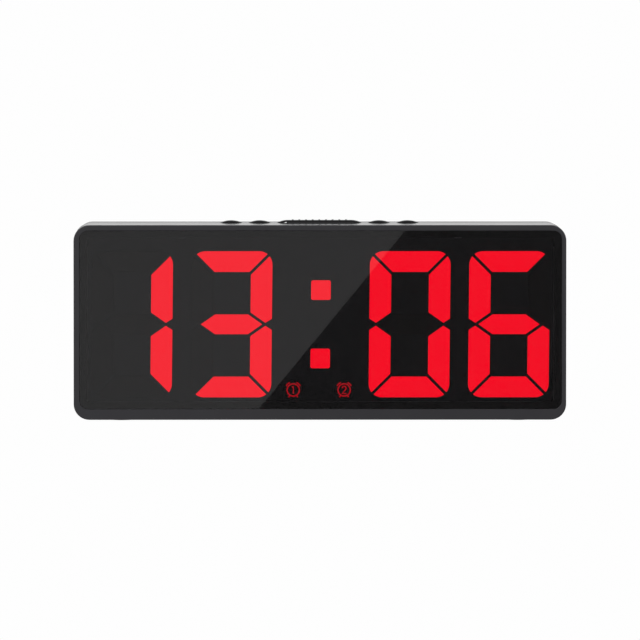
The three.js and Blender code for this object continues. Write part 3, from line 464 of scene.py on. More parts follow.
def new_material(name):
    """An empty node material: its tree, its shader and its object coordinates."""
    material = bpy.data.materials.new(name)
    material.use_nodes = True
    tree = material.node_tree
    tree.nodes.clear()
    shader = add_node(tree, "ShaderNodeBsdfPrincipled")
    add_node(tree, "ShaderNodeOutputMaterial", {"Surface": shader})
    place = add_node(tree, "ShaderNodeTexCoord").outputs["Object"]
    return material, tree, shader, place


def mottled(name, tones, size, detail=3.0, seed=0.0, reach=1.0, rough=None, relief=None):
    """A material that one noise mottles in tone, and where they are given in roughness and height.

    The noise's patches are size metres wide and carry the first tone towards the second by reach. Rough is
    a lowest and a highest roughness, and relief is the bump's strength and its height in metres.
    """
    material, tree, shader, place = new_material(name)
    moved = add_node(tree, "ShaderNodeMapping", {"Vector": place, "Location": (seed, seed, seed)})
    patches = add_node(tree, "ShaderNodeTexNoise", {"Vector": moved, "Scale": 1 / size, "Detail": detail})
    share = add_node(tree, "ShaderNodeMapRange", {"Value": patches, "To Max": reach})
    first, second = (linear(code) for code in tones)
    tone = add_node(tree, "ShaderNodeMix", {"Factor": share, 6: first, 7: second}, data_type="RGBA")
    feed(shader, {"Base Color": tone.outputs[2]})
    if rough:
        low, high = rough
        spread = add_node(tree, "ShaderNodeMapRange", {"Value": patches, "To Min": low, "To Max": high})
        feed(shader, {"Roughness": spread})
    if relief:
        strength, height = relief
        raised = {"Height": patches, "Strength": strength, "Distance": height}
        feed(shader, {"Normal": add_node(tree, "ShaderNodeBump", raised)})
    return material, tree, shader, place, patches


# ---- Materials ----


def two_finish_abs(name, tones, clouds, change_y, front, back):
    """Moulded ABS whose tool has one finish in front of a plane and another behind it.

    A finish is its lowest and highest roughness and the strength of its spark-eroded grain, 0.3 mm wide.
    """
    material, tree, shader, place, patches = mottled(name, tones, detail=3.5, reach=0.2, **clouds)
    depth = add_node(tree, "ShaderNodeSeparateXYZ", {"Vector": place}).outputs["Y"]
    start, end = change_y
    behind = add_node(tree, "ShaderNodeMapRange", {"Value": depth, "From Min": start, "From Max": end})
    finishes = [
        add_node(tree, "ShaderNodeMapRange", {"Value": patches, "To Min": low, "To Max": high})
        for low, high, _ in (front, back)
    ]
    rough = add_node(tree, "ShaderNodeMix", {"Factor": behind, "A": finishes[0], "B": finishes[1]})
    eroded = {"Vector": place, "Scale": 1 / (0.3 * MM), "Detail": 2.0}
    grain = add_node(tree, "ShaderNodeTexNoise", eroded)
    strength = add_node(tree, "ShaderNodeMapRange", {"Value": behind, "To Min": front[2], "To Max": back[2]})
    raised = {"Height": grain, "Strength": strength, "Distance": 0.025 * MM}
    feed(shader, {"IOR": 1.53, "Roughness": rough, "Normal": add_node(tree, "ShaderNodeBump", raised)})
    return material


@made_once
def satin_abs(code, face_y):
    """The frame's moulded ABS: its fine-grained face looks soft and grey, its polished sides mirror."""
    zone = (face_y + 0.15 * MM, face_y + 0.4 * MM)
    satin, polish = (0.40, 0.50, 0.18), (0.10, 0.14, 0.0)
    clouds = {"size": 9 * MM, "seed": 0.0}
    return two_finish_abs("satin moulded ABS", (code, "#3a393e"), clouds, zone, satin, polish)


@made_once
def gloss_abs(code, back_y):
    """The housing's moulded ABS: gloss with a faint haze, and a grained back that hides handling marks."""
    zone = (back_y - 1.4 * MM, back_y - 0.9 * MM)
    polish, satin = (0.12, 0.17, 0.0), (0.36, 0.46, 0.22)
    clouds = {"size": 14 * MM, "seed": 5.3}
    return two_finish_abs("gloss moulded ABS", (code, "#2c2c30"), clouds, zone, polish, satin)


@made_once
def polished_abs(code):
    """The keys' polished black ABS: near-mirror, with fine rubbing marks."""
    marks = {"size": 1.2 * MM, "detail": 4.0, "seed": 2.2, "reach": 0.3, "rough": (0.05, 0.09)}
    material, _, shader, *_ = mottled("polished ABS", (code, "#19191c"), **marks)
    feed(shader, {"IOR": 1.53})
    return material


@made_once
def smoked_acrylic(code):
    """Smoked cast acrylic, polished: it mirrors at its face and darkens what is behind."""
    material, _, shader, _ = new_material("smoked acrylic")
    polished = {"Roughness": 0.0, "IOR": 1.49, "Transmission Weight": 1.0}
    feed(shader, {"Base Color": linear(code), **polished})
    return material


@made_once
def matt_ink(code):
    """Screen-printed black ink round the segments: dead matt, with a fine stipple."""
    stipple = {"size": 0.4 * MM, "detail": 2.0, "seed": 6.0, "relief": (0.1, 0.02 * MM)}
    material, _, shader, *_ = mottled("matt black ink", (code, "#35353a"), **stipple)
    feed(shader, {"Roughness": 0.85, "Specular IOR Level": 0.2})
    return material


@made_once
def lit_diffuser(code, gain):
    """Milky polystyrene with red chips shining through: an even glow, a touch softer in patches."""
    material, tree, shader, place = new_material("lit diffuser")
    patches = add_node(tree, "ShaderNodeTexNoise", {"Vector": place, "Scale": 1 / (5 * MM), "Detail": 1.0})
    evenness = {"Value": patches, "To Min": gain * 0.985, "To Max": gain * 1.015}
    feed(shader, {"Emission Strength": add_node(tree, "ShaderNodeMapRange", evenness)})
    feed(shader, {"Base Color": linear("#1c0204"), "Roughness": 0.6, "Specular IOR Level": 0.1})
    feed(shader, {"Emission Color": linear(code)})
    return material


@made_once
def dark_diffuser(code):
    """The same milky polystyrene unlit: nearly black behind the smoke, with a faint red body."""
    body = {"size": 2 * MM, "detail": 2.0, "seed": 8.1}
    material, _, shader, *_ = mottled("unlit diffuser", (code, "#120607"), **body)
    feed(shader, {"Roughness": 0.7})
    return material


@made_once
def rubber(code):
    """Moulded nitrile rubber of the feet: dull, with a dusty bloom."""
    bloom = {"size": 0.8 * MM, "detail": 4.0, "seed": 1.1, "rough": (0.75, 0.95)}
    return mottled("moulded rubber", (code, "#2b2b2c"), relief=(0.3, 0.03 * MM), **bloom)[0]


@made_once
def plated_steel(code):
    """Bright nickel plate on pressed steel: fine draw lines along X, 0.15 mm apart, and small stains."""
    stains = {"size": 2.5 * MM, "seed": 9.0, "reach": 0.5}
    material, tree, shader, place, _ = mottled("nickel-plated steel", (code, "#8f8b84"), **stains)
    drawn = add_node(tree, "ShaderNodeMapping", {"Vector": place, "Scale": (0.05, 1.0, 1.0)})
    lines = add_node(tree, "ShaderNodeTexNoise", {"Vector": drawn, "Scale": 1 / (0.15 * MM)})
    rough = add_node(tree, "ShaderNodeMapRange", {"Value": lines, "To Min": 0.22, "To Max": 0.38})
    raised = add_node(tree, "ShaderNodeBump", {"Height": lines, "Strength": 0.1, "Distance": 0.01 * MM})
    feed(shader, {"Metallic": 1.0, "Roughness": rough, "Normal": raised})
    return material


@made_once
def soft_plastic(name, code, second, size, rough):
    """Plain moulded or extruded plastic, such as wire sleeves, chips and tape, with a little mottling."""
    limits = (rough - 0.08, rough + 0.08)
    return mottled(name, (code, second), size, seed=2.9, rough=limits, relief=(0.15, 0.02 * MM))[0]


@made_once
def circuit_board(code):
    """Glass-fibre board under green solder mask: copper tracks show through as lighter, raised lines."""
    weave = {"size": 0.5 * MM, "detail": 2.0, "seed": 3.3}
    material, tree, shader, place, _ = mottled("green circuit board", (code, "#12432a"), **weave)
    mask = shader.inputs["Base Color"].links[0].from_socket
    grid = {"Vector": place, "Scale": 1 / (6 * MM), "Mortar Size": 0.03, "Mortar Smooth": 0.2}
    tracks = add_node(tree, "ShaderNodeTexBrick", grid).outputs["Fac"]
    copper = {"Factor": tracks, 6: mask, 7: linear("#3a8a52")}
    tone = add_node(tree, "ShaderNodeMix", copper, data_type="RGBA").outputs[2]
    raised = add_node(tree, "ShaderNodeBump", {"Height": tracks, "Strength": 0.3, "Distance": 0.03 * MM})
    feed(shader, {"Base Color": tone, "Roughness": 0.35, "Normal": raised})
    return material


@made_once
def ribbon_cable(code):
    """Grey PVC ribbon: moulded cores 1 mm apart run side by side, with painted shade darkening the grooves
    between them.
    """
    material, tree, shader, place = new_material("ribbon cable")
    # A wave's bands are 2 pi / 20 of a unit apart at a scale of 1
    pitch = 1 * MM * 20 / (2 * math.pi)
    bands = {"Vector": place, "Scale": 1 / pitch}
    cores = add_node(tree, "ShaderNodeTexWave", bands, wave_type="BANDS", bands_direction="X").outputs["Fac"]
    # The darker grey between the cores is painted shade in the grooves, not a colour of the PVC
    shades = {"Factor": cores, 6: linear("#8b8b88"), 7: linear(code)}
    tone = add_node(tree, "ShaderNodeMix", shades, data_type="RGBA").outputs[2]
    raised = add_node(tree, "ShaderNodeBump", {"Height": cores, "Strength": 0.6, "Distance": 0.2 * MM})
    feed(shader, {"Base Color": tone, "Roughness": 0.5, "Normal": raised})
    return material


@made_once
def cell_sleeve(code, band, way, middle, band_at, metal_at):
    """A printed shrink sleeve round a cell: a dark body, a gold band at the positive end, bare steel ends."""
    prints = {"size": 3 * MM, "seed": 4.8, "reach": 0.4, "rough": (0.2, 0.32)}
    material, tree, shader, place, _ = mottled("cell sleeve", (code, "#1b3f5c"), **prints)
    along = add_node(tree, "ShaderNodeSeparateXYZ", {"Vector": place})
    offset = add_node(tree, "ShaderNodeMath", {0: along, 1: middle}, operation="SUBTRACT")
    signed = add_node(tree, "ShaderNodeMath", {0: offset, 1: way}, operation="MULTIPLY")
    banded = add_node(tree, "ShaderNodeMath", {0: signed, 1: band_at}, operation="GREATER_THAN")
    reach = add_node(tree, "ShaderNodeMath", {0: offset}, operation="ABSOLUTE")
    bare = add_node(tree, "ShaderNodeMath", {0: reach, 1: metal_at}, operation="GREATER_THAN")
    tone = shader.inputs["Base Color"].links[0].from_socket
    for share, paint in ((banded, band), (bare, "#b9bbbe")):
        layer = {"Factor": share, 6: tone, 7: linear(paint)}
        tone = add_node(tree, "ShaderNodeMix", layer, data_type="RGBA").outputs[2]
    feed(shader, {"Base Color": tone, "Metallic": bare})
    return material


def glowing(name, brightness):
    """A plain white glow for the stage."""
    material, _, shader, _ = new_material(name)
    feed(shader, {"Base Color": linear("#000000"), "Roughness": 0.9, "Specular IOR Level": 0.0})
    feed(shader, {"Emission Color": linear("#ffffff"), "Emission Strength": brightness})
    return material


# ---- Geometry Nodes ----


def node_group(name, inputs):
    """A Geometry Nodes tree with a material and named inputs, each a (socket type, default) pair."""
    tree = bpy.data.node_groups.new(name, "GeometryNodeTree")
    tree.interface.new_socket("Geometry", in_out="INPUT", socket_type="NodeSocketGeometry")
    tree.interface.new_socket("Geometry", in_out="OUTPUT", socket_type="NodeSocketGeometry")
    for label, (kind, default) in {**inputs, "Material": ("NodeSocketMaterial", None)}.items():
        socket = tree.interface.new_socket(label, in_out="INPUT", socket_type=kind)
        if default is not None:
            socket.default_value = default
    return tree, add_node(tree, "NodeGroupInput").outputs


def end_group(tree, geometry, material):
    """Ends a tree in Realize Instances and Set Material."""
    real = add_node(tree, "GeometryNodeRealizeInstances", {"Geometry": geometry})
    dressed = add_node(tree, "GeometryNodeSetMaterial", {"Geometry": real, "Material": material})
    add_node(tree, "NodeGroupOutput", {"Geometry": dressed})
    return tree


@made_once
def copies_tree():
    """Puts a copy of a master object on every point of the mesh, scaled and turned alike."""
    inputs = {"Master": ("NodeSocketObject", None), "Scale": ("NodeSocketFloat", 1.0)}
    tree, given = node_group("Copies on points", inputs)
    points = add_node(tree, "GeometryNodeMeshToPoints", {"Mesh": given["Geometry"]})
    master = add_node(tree, "GeometryNodeObjectInfo", {"Object": given["Master"]}).outputs["Geometry"]
    put = {"Points": points, "Instance": master, "Scale": given["Scale"]}
    placed = add_node(tree, "GeometryNodeInstanceOnPoints", put)
    return end_group(tree, placed, given["Material"])


@made_once
def wire_tree():
    """Sweeps a round wire along the curves of the mesh's edges."""
    inputs = {"Radius": ("NodeSocketFloat", 0.2 * MM), "Sides": ("NodeSocketInt", 8)}
    tree, given = node_group("Round wire", inputs)
    path = add_node(tree, "GeometryNodeMeshToCurve", {"Mesh": given["Geometry"]})
    round_wire = {"Resolution": given["Sides"], "Radius": given["Radius"]}
    section = add_node(tree, "GeometryNodeCurvePrimitiveCircle", round_wire, mode="RADIUS")
    sweep = {"Curve": path, "Profile Curve": section, "Fill Caps": True}
    swept = add_node(tree, "GeometryNodeCurveToMesh", sweep)
    return end_group(tree, swept, given["Material"])


def grow(obj, tree, values):
    """Runs a Geometry Nodes tree on an object with its named inputs, and keeps the plain mesh."""
    modifier = obj.modifiers.new(tree.name, "NODES")
    modifier.node_group = tree
    for item in tree.interface.items_tree:
        if item.in_out == "INPUT" and item.name in values:
            modifier[item.identifier] = values[item.name]
    bake_modifiers(obj)
    return obj


def points_object(name, places):
    """An object with one loose vertex for each place."""
    bm = bmesh.new()
    for place in places:
        bm.verts.new(place)
    return new_object(name, bm)


def path_object(name, paths):
    """An object of open or closed edge paths, each a (points, closed) pair."""
    bm = bmesh.new()
    for points, closed in paths:
        row = [bm.verts.new(p) for p in points]
        for near, far in zip(row, row[1:] + row[:1] if closed else row[1:]):
            bm.edges.new((near, far))
    return new_object(name, bm)


def copies(name, master, places, material):
    """Copies of a master object at these places, as one plain object. The master is removed."""
    obj = points_object(name, places)
    grow(obj, copies_tree(), {"Master": master, "Material": material})
    bpy.data.objects.remove(master)
    return obj


# ---- Outlines of the display ----


def segment_outline(show, segment):
    """One of a digit's seven segments, a to g, about the digit's middle."""
    side = show.digit_width / 2
    top = show.digit_height / 2
    corner = show.digit_corner
    shift = show.gap * math.sqrt(0.5)
    mitre = top - side
    chord = (math.sqrt(2 * corner**2 - shift**2) + shift) / 2
    tip_angle = math.degrees(math.atan2(chord, chord - shift))
    cx, cz = side - corner, top - corner
    tip_slope = 35 * DEGREE
    slope = math.tan(tip_slope)
    tip = side - show.tip_inset
    if segment in "ad":
        inner = top - show.bar
        reach = inner - mitre - shift
        outline = [(-reach, inner), (reach, inner)]
        outline += arc(cx, cz, corner, tip_angle, 90, 8)
        outline += arc(-cx, cz, corner, 90, 180 - tip_angle, 8)
    elif segment == "g":
        half = show.middle_bar / 2
        end = tip + show.gap / 2 / slope - show.gap / math.sin(tip_slope)
        reach = end - half / slope
        outline = [(-end, 0), (-reach, -half), (reach, -half), (end, 0), (reach, half), (-reach, half)]
    else:
        inner = side - show.stroke
        outline = [(inner, inner + mitre - shift), (inner, show.gap / 2 + (tip - inner) * slope)]
        outline += [(tip, show.gap / 2), (side, show.gap / 2 + show.tip_rise)]
        outline += arc(cx, cz, corner, 0, 90 - tip_angle, 8)
    flip_x = -1 if segment in "ef" else 1
    flip_z = -1 if segment in "cde" else 1
    return [(x * flip_x, z * flip_z) for x, z in outline]


def lean(outline, centre, slant):
    """An outline about a digit's middle, leaned and moved to its place."""
    shear = math.tan(slant)
    return [(centre.x + x + z * shear, centre.z + z) for x, z in outline]


def prism(outline, front, back):
    """A solid of this outline from front to back, with a small chamfer at its front."""
    chamfer = 0.08 * MM
    bm = skin([at_y(outline, front), at_y(outline, back)])
    rim = [e for e in bm.edges if all(abs(v.co.y - front) < HAIRLINE for v in e.verts)]
    bmesh.ops.bevel(bm, geom=rim, offset=chamfer, segments=1, affect="EDGES", clamp_overlap=True)
    return bm


# ---- Operators ----


class CLOCK_OT_lens(bpy.types.Operator):
    """Makes the smoked lens with its polished edges"""

    bl_idname = "clock.lens"
    bl_label = "Lens"

    def execute(self, context):
        show = context.scene.clock_display
        low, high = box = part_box("front_lens")
        edge = show.lens_edge
        turn = [(edge - a, edge - b) for a, b in arc(0, 0, edge, 90, 0, 4)]
        places = [(inset, low.y + depth) for inset, depth in turn]
        places += [(inset, high.y - depth) for inset, depth in reversed(turn)]
        rings = [box_ring(box, inset, show.lens_corner - inset, y) for inset, y in places]
        acrylic = smoked_acrylic(show.lens_tint)
        solid_piece("smoked_lens", skin(rings), (acrylic, "case", "lens_acrylic", ["front_lens"]))
        return {"FINISHED"}


class CLOCK_OT_digits(bpy.types.Operator):
    """Makes the four digits, each as its lit segments and its dark ones"""

    bl_idname = "clock.digits"
    bl_label = "Digits"

    def execute(self, context):
        show = context.scene.clock_display
        for i, figure in enumerate(show.time):
            node = f"digit_{i + 1}_diffuser"
            low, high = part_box(node)
            centre = (low + high) / 2
            sheet = high.y - show.sheet
            groups = {"lit": [], "dark": []}
            for segment in "abcdefg":
                state = "lit" if segment in LIT_SEGMENTS[figure] else "dark"
                outline = lean(segment_outline(show, segment), centre, show.slant)
                groups[state].append(prism(outline, low.y, sheet - HAIRLINE))
            half_x = show.digit_width / 2 + show.digit_margin
            half_z = show.digit_height / 2 + show.digit_margin
            web = rounded_rect(-half_x, half_x, -half_z, half_z, show.digit_corner)
            groups["dark"].append(prism(lean(web, centre, show.slant), sheet, high.y))
            for state, parts in groups.items():
                milky = lit_diffuser(show.lit, LIT_GAIN) if state == "lit" else dark_diffuser(show.unlit)
                finish = (milky, "case", "diffuser_red", [node])
                solid_piece(f"digit_{i + 1}_{state}", merged(*parts), finish, sharp=25)
        return {"FINISHED"}


class CLOCK_OT_centre_signs(bpy.types.Operator):
    """Makes the colon squares and the two alarm signs with their numbers"""

    bl_idname = "clock.centre_signs"
    bl_label = "Colon and alarm signs"

    def execute(self, context):
        show = context.scene.clock_display
        node = "centre_diffuser"
        low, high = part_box(node)
        sheet = high.y - show.sheet
        digits = [centre_of(f"digit_{i}_diffuser") for i in range(1, 5)]
        middle = sum(digits, Vector()) / 4
        half = show.colon_side / 2
        dots = []
        for way in (-1, 1):
            rise = way * show.colon_offset
            dot = rounded_rect(-half, half, rise - half, rise + half, show.colon_corner, steps=6)
            dots.append(prism(lean(dot, middle, show.slant), low.y, sheet - HAIRLINE))
        lit = lit_diffuser(show.lit, LIT_GAIN)
        solid_piece("colon_lit", merged(*dots), (lit, "case", "diffuser_red", [node]), sharp=25)

        sheet_corner = 1 * MM
        web = rounded_rect(low.x, high.x, low.z, high.z, sheet_corner, steps=4)
        parts = [prism(web, sheet, high.y)]
        for x, z in SIGN_PLACES:
            parts.append(prism(circle(x, z, show.sign_window), low.y, sheet - HAIRLINE))
        dark = dark_diffuser(show.unlit)
        solid_piece("sign_windows", merged(*parts), (dark, "case", "diffuser_red", [node]), sharp=25)

        glow = lit_diffuser(show.lit, SIGN_GAIN)
        for i, place in enumerate(SIGN_PLACES):
            paths = self.bell_clock(show, place, low.y) + [self.number(NUMBER_STROKES[i], place, low.y)]
            sign = path_object(f"alarm_sign_{i + 1}", paths)
            grow(sign, wire_tree(), {"Radius": show.sign_stroke / 2, "Material": glow})
            finish_piece(sign, glow, "case", "diffuser_red")
        return {"FINISHED"}

    def bell_clock(self, show, place, front):
        """A twin-bell clock in fine lines, as paths: its dial, its bells and its feet."""
        dial = show.sign_radius
        bell_gap, bell_start, bell_end = 0.62 * MM, 24, 60
        foot_reach, foot_turn = (0.1 * MM, 0.75 * MM), 32
        paths = [(at_y(circle(*place, dial), front), True)]
        for way in (-1, 1):
            bell = arc(*place, dial + bell_gap, 90 + way * bell_start, 90 + way * bell_end, 4)
            foot = [arc(*place, dial + reach, way * foot_turn - 90, 0, 1)[0] for reach in foot_reach]
            paths += [(at_y(bell, front), False), (at_y(foot, front), False)]
        return paths

    def number(self, stroke, place, front):
        """A number on the dial, as an open path."""
        half = 1.15 * MM
        x, z = place
        return at_y([(x + a * half, z + b * half) for a, b in stroke], front), False


class CLOCK_OT_front_frame(bpy.types.Operator):
    """Makes the front frame: a rounded rim, a lip round the lens and a ledge behind it"""

    bl_idname = "clock.front_frame"
    bl_label = "Front frame"

    def execute(self, context):
        case = context.scene.clock_case
        low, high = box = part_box("front_frame")
        lens_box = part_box("front_lens")
        lens_corner = context.scene.clock_display.lens_corner
        smallest_corner = 0.5 * MM
        parting = high.y

        def outer(inset, y):
            return box_ring(box, inset, case.corner - inset, y)

        def seat(inset, y):
            return box_ring(lens_box, inset, max(lens_corner - inset, smallest_corner), y)

        rim, lip, wall, ledge_width = case.rim_round, case.lip_round, case.wall, case.ledge_width
        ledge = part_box("lens_tape")[1].y + CLEARANCE / 2
        ledge_back = ledge + case.ledge_thick
        joint = parting + case.joint_lip
        rings = [outer(case.seam, parting), outer(0, parting - case.seam)]
        rings += [outer(rim - a, low.y + rim - b) for a, b in arc(0, 0, rim, 0, 90, 8)]
        rings += [seat(b - CLEARANCE - lip, low.y + lip - a) for a, b in arc(0, 0, lip, 0, 90, 4)]
        rings += [seat(-CLEARANCE, ledge), seat(ledge_width, ledge), seat(ledge_width, ledge_back)]
        rings += [outer(wall, ledge_back), outer(wall, joint), outer(wall / 2, joint)]
        rings += [outer(wall / 2, parting)]
        finish = (satin_abs(case.frame_colour, low.y), "case", "frame_abs", ["front_frame"])
        solid_piece("front_frame_shell", skin(rings, joined=True), finish, sharp=40)
        return {"FINISHED"}


def moulded_copy(case, node, name, body, crisp_y=None):
    """A CAD node of the housing's ABS with its moulded edges rounded, except at crisp_y."""
    piece = cad_copy(node, name)
    settle(piece, case.edge, sharp=32, crisp_y=crisp_y)
    material = gloss_abs(case.housing_colour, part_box("rear_housing")[1].y)
    finish_piece(piece, material, body, "housing_abs", [node])


class CLOCK_OT_rear_housing(bpy.types.Operator):
    """Rounds the moulded edges of the rear housing"""

    bl_idname = "clock.rear_housing"
    bl_label = "Rear housing"

    def execute(self, context):
        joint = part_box("front_frame")[1].y + CLEARANCE
        moulded_copy(context.scene.clock_case, "rear_housing", "rear_housing_shell", "case", joint)
        return {"FINISHED"}


class CLOCK_OT_battery_door(bpy.types.Operator):
    """Rounds the battery door and its latch tongue"""

    bl_idname = "clock.battery_door"
    bl_label = "Battery door"

    def execute(self, context):
        moulded_copy(context.scene.clock_case, "battery_door", "battery_door_panel", "door")
        return {"FINISHED"}


def key_heights(scene):
    """Underside and top of the flanges under the case's top wall, and where the crowns' domes start."""
    case_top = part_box("front_frame")[1].z
    top = case_top - scene.clock_case.wall - CLEARANCE
    return top - scene.clock_keys.flange, top, case_top + scene.clock_keys.shoulder


class CLOCK_OT_round_keys(bpy.types.Operator):
    """Makes the four domed keys"""

    bl_idname = "clock.round_keys"
    bl_label = "Round keys"

    def execute(self, context):
        keys = context.scene.clock_keys
        under, top, edge = key_heights(context.scene)
        for name in KEYS:
            low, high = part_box(f"{name}_button")
            centre = (low + high) / 2
            flange = (high.x - low.x) / 2
            profile = [(0, low.z), (keys.stem_radius, low.z), (keys.stem_radius, under), (flange, under)]
            profile += [(flange, top), (keys.cap_radius, top)]
            profile += dome(keys.cap_radius, edge, high.z, 16) + [(0, high.z)]
            cap = turned(profile, (centre.x, centre.y, 0))
            finish = (polished_abs(keys.colour), f"{name}_key", "button_plastic", [f"{name}_button"])
            solid_piece(f"{name}_key_cap", cap, finish, sharp=40)
        return {"FINISHED"}


class CLOCK_OT_snooze_bar(bpy.types.Operator):
    """Makes the snooze bar with its domed crown, its stem, its guide pins and its grip ribs"""

    bl_idname = "clock.snooze_bar"
    bl_label = "Snooze bar"

    def execute(self, context):
        keys = context.scene.clock_keys
        low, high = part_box("snooze_bar")
        centre = (low + high) / 2
        crown = high.z - keys.rib_height
        under, top, edge = key_heights(context.scene)
        flange = (high.y - low.y - keys.snooze_width) / 2
        half_x, half_y = (high.x - low.x) / 2 - flange, keys.snooze_width / 2

        def ring(more, z):
            outline = stadium(half_x + more, half_y + more, 16)
            return [(centre.x + x, centre.y + y, z) for x, y in outline]

        rings = [ring(flange, under), ring(flange, top), ring(0, top)]
        rings += [ring(r - half_y, z) for r, z in dome(half_y, edge, crown, 16)]
        bar = new_object("snooze_cap", skin(rings))
        pins = ((0, keys.stem_radius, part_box("set_button")[0].z),)
        pins += tuple((way * keys.guide_offset, keys.guide_radius, low.z) for way in (-1, 1))
        for offset, radius, bottom in pins:
            root = (under + top) / 2
            pin = turned([(0, bottom), (radius, bottom), (radius, root), (0, root)], (offset, centre.y, 0))
            boolean(bar, new_object("pin", pin), "UNION")
        settle(bar, sharp=40)
        material = polished_abs(keys.colour)
        finish_piece(bar, material, "snooze_key", "button_plastic", ["snooze_bar"])

        # A rib stands on the crown's middle and reaches down into its round sides
        half_x, half_y, height = keys.rib_width / 2, keys.rib_length / 2, keys.rib_height
        levels = ((0, -2 * height), (0, height / 3), (height / 3, height * 0.8), (height * 0.93, height))
        rib = skin([at_z(stadium(half_x - inset, half_y - inset, 6), z) for inset, z in levels])
        master = new_object("rib", rib)
        settle(master, sharp=50)
        first = centre.x - keys.rib_pitch * (keys.rib_count - 1) / 2
        places = [(first + i * keys.rib_pitch, centre.y, crown) for i in range(keys.rib_count)]
        ribs = copies("snooze_grip_ribs", master, places, material)
        finish_piece(ribs, material, "snooze_key", "button_plastic")
        return {"FINISHED"}


class CLOCK_OT_screws(bpy.types.Operator):
    """Makes the four case screws with crossed recesses"""

    bl_idname = "clock.screws"
    bl_label = "Case screws"

    def execute(self, context):
        nodes = [f"case_screw_{i}" for i in range(1, 5)]
        low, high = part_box(nodes[0])
        head = (high.x - low.x) / 2
        height, rim = 1.6 * MM, 0.5 * MM
        shank, point, point_length = 1.05 * MM, 0.42 * MM, 1 * MM
        seat = high.y - height
        tip = low.y - seat
        turns = [a * DEGREE for a in (0, 20, 40, 60, 75)]
        crown = [(head * math.cos(a), rim + (height - rim) * math.sin(a)) for a in turns]
        profile = [(0, tip), (point, tip), (shank, tip + point_length), (shank, 0), (head, 0)]
        profile += crown + [(0, height)]
        master = new_object("screw", turned(profile, axis="Y"))
        # The recess's arms widen from its floor to a level just past the crown
        half_slot, slot_corner = 0.28 * MM, 0.1 * MM
        levels = ((0.52 * MM, rim), (1.32 * MM, height + 0.3 * MM))
        slots = [(rounded_rect(-r, r, -half_slot, half_slot, slot_corner, steps=2), y) for r, y in levels]
        for turn in (0, 90):
            arm = skin([at_y(slot, y) for slot, y in slots])
            spin = Matrix.Rotation(turn * DEGREE, 3, "Y")
            bmesh.ops.rotate(arm, cent=(0, 0, 0), matrix=spin, verts=arm.verts)
            boolean(master, new_object("arm", arm))
        settle(master, sharp=35)
        material = plated_steel(NICKEL)
        places = [(centre_of(n).x, seat, centre_of(n).z) for n in nodes]
        screws = copies("case_screws", master, places, material)
        finish_piece(screws, material, "case", "plated_steel", nodes)
        return {"FINISHED"}


class CLOCK_OT_feet(bpy.types.Operator):
    """Makes the four rubber feet with a shallow hollow in each"""

    bl_idname = "clock.feet"
    bl_label = "Feet"

    def execute(self, context):
        nodes = [f"foot_{i}" for i in range(1, 5)]
        low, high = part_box(nodes[0])
        radius = (high.x - low.x) / 2
        height = high.z - low.z
        edge, hollow = 0.2 * MM, 0.15 * MM
        floor, ring = radius * 0.55, radius * 0.62
        profile = [(0, hollow), (floor, hollow), (ring, 0), (radius - edge, 0)]
        profile += [(radius, edge), (radius, height), (0, height)]
        master = new_object("foot", turned(profile))
        settle(master, sharp=50)
        material = rubber("#1c1c1d")
        places = [(centre_of(n).x, centre_of(n).y, low.z) for n in nodes]
        feet = copies("rubber_feet", master, places, material)
        finish_piece(feet, material, "case", "foot_rubber", nodes)
        return {"FINISHED"}


class CLOCK_OT_cells(bpy.types.Operator):
    """Makes the three battery cells in printed sleeves"""

    bl_idname = "clock.cells"
    bl_label = "Battery cells"

    def execute(self, context):
        for number in (1, 2, 3):
            node = f"battery_cell_{number}"
            low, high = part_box(node)
            centre = (low + high) / 2
            half = (high.x - low.x) / 2
            radius = (high.z - low.z) / 2
            way = 1 if number == 2 else -1
            rim, groove, cap = 0.35 * MM, 0.15 * MM, 1.95 * MM
            shoulder = half - 0.8 * MM
            inner, outer = radius * 0.72, radius * 0.78
            profile = [(0, groove - half), (inner, groove - half), (outer, -half), (radius - rim, -half)]
            profile += [(radius, rim - half), (radius, shoulder - rim), (radius - rim, shoulder)]
            profile += [(outer, shoulder), (inner, shoulder - groove), (cap, shoulder - groove)]
            profile += [(cap, half - groove), (cap - groove, half), (0, half)]
            cell = turned([(r, h * way) for r, h in profile], centre, "X")
            band_at, metal_at = 0.44 * half, shoulder - rim
            sleeve = cell_sleeve("#16324a", "#c9a227", way, centre.x, band_at, metal_at)
            solid_piece(f"cell_{number}", cell, (sleeve, "case", "cell_sleeve", [node]), sharp=30)
        return {"FINISHED"}


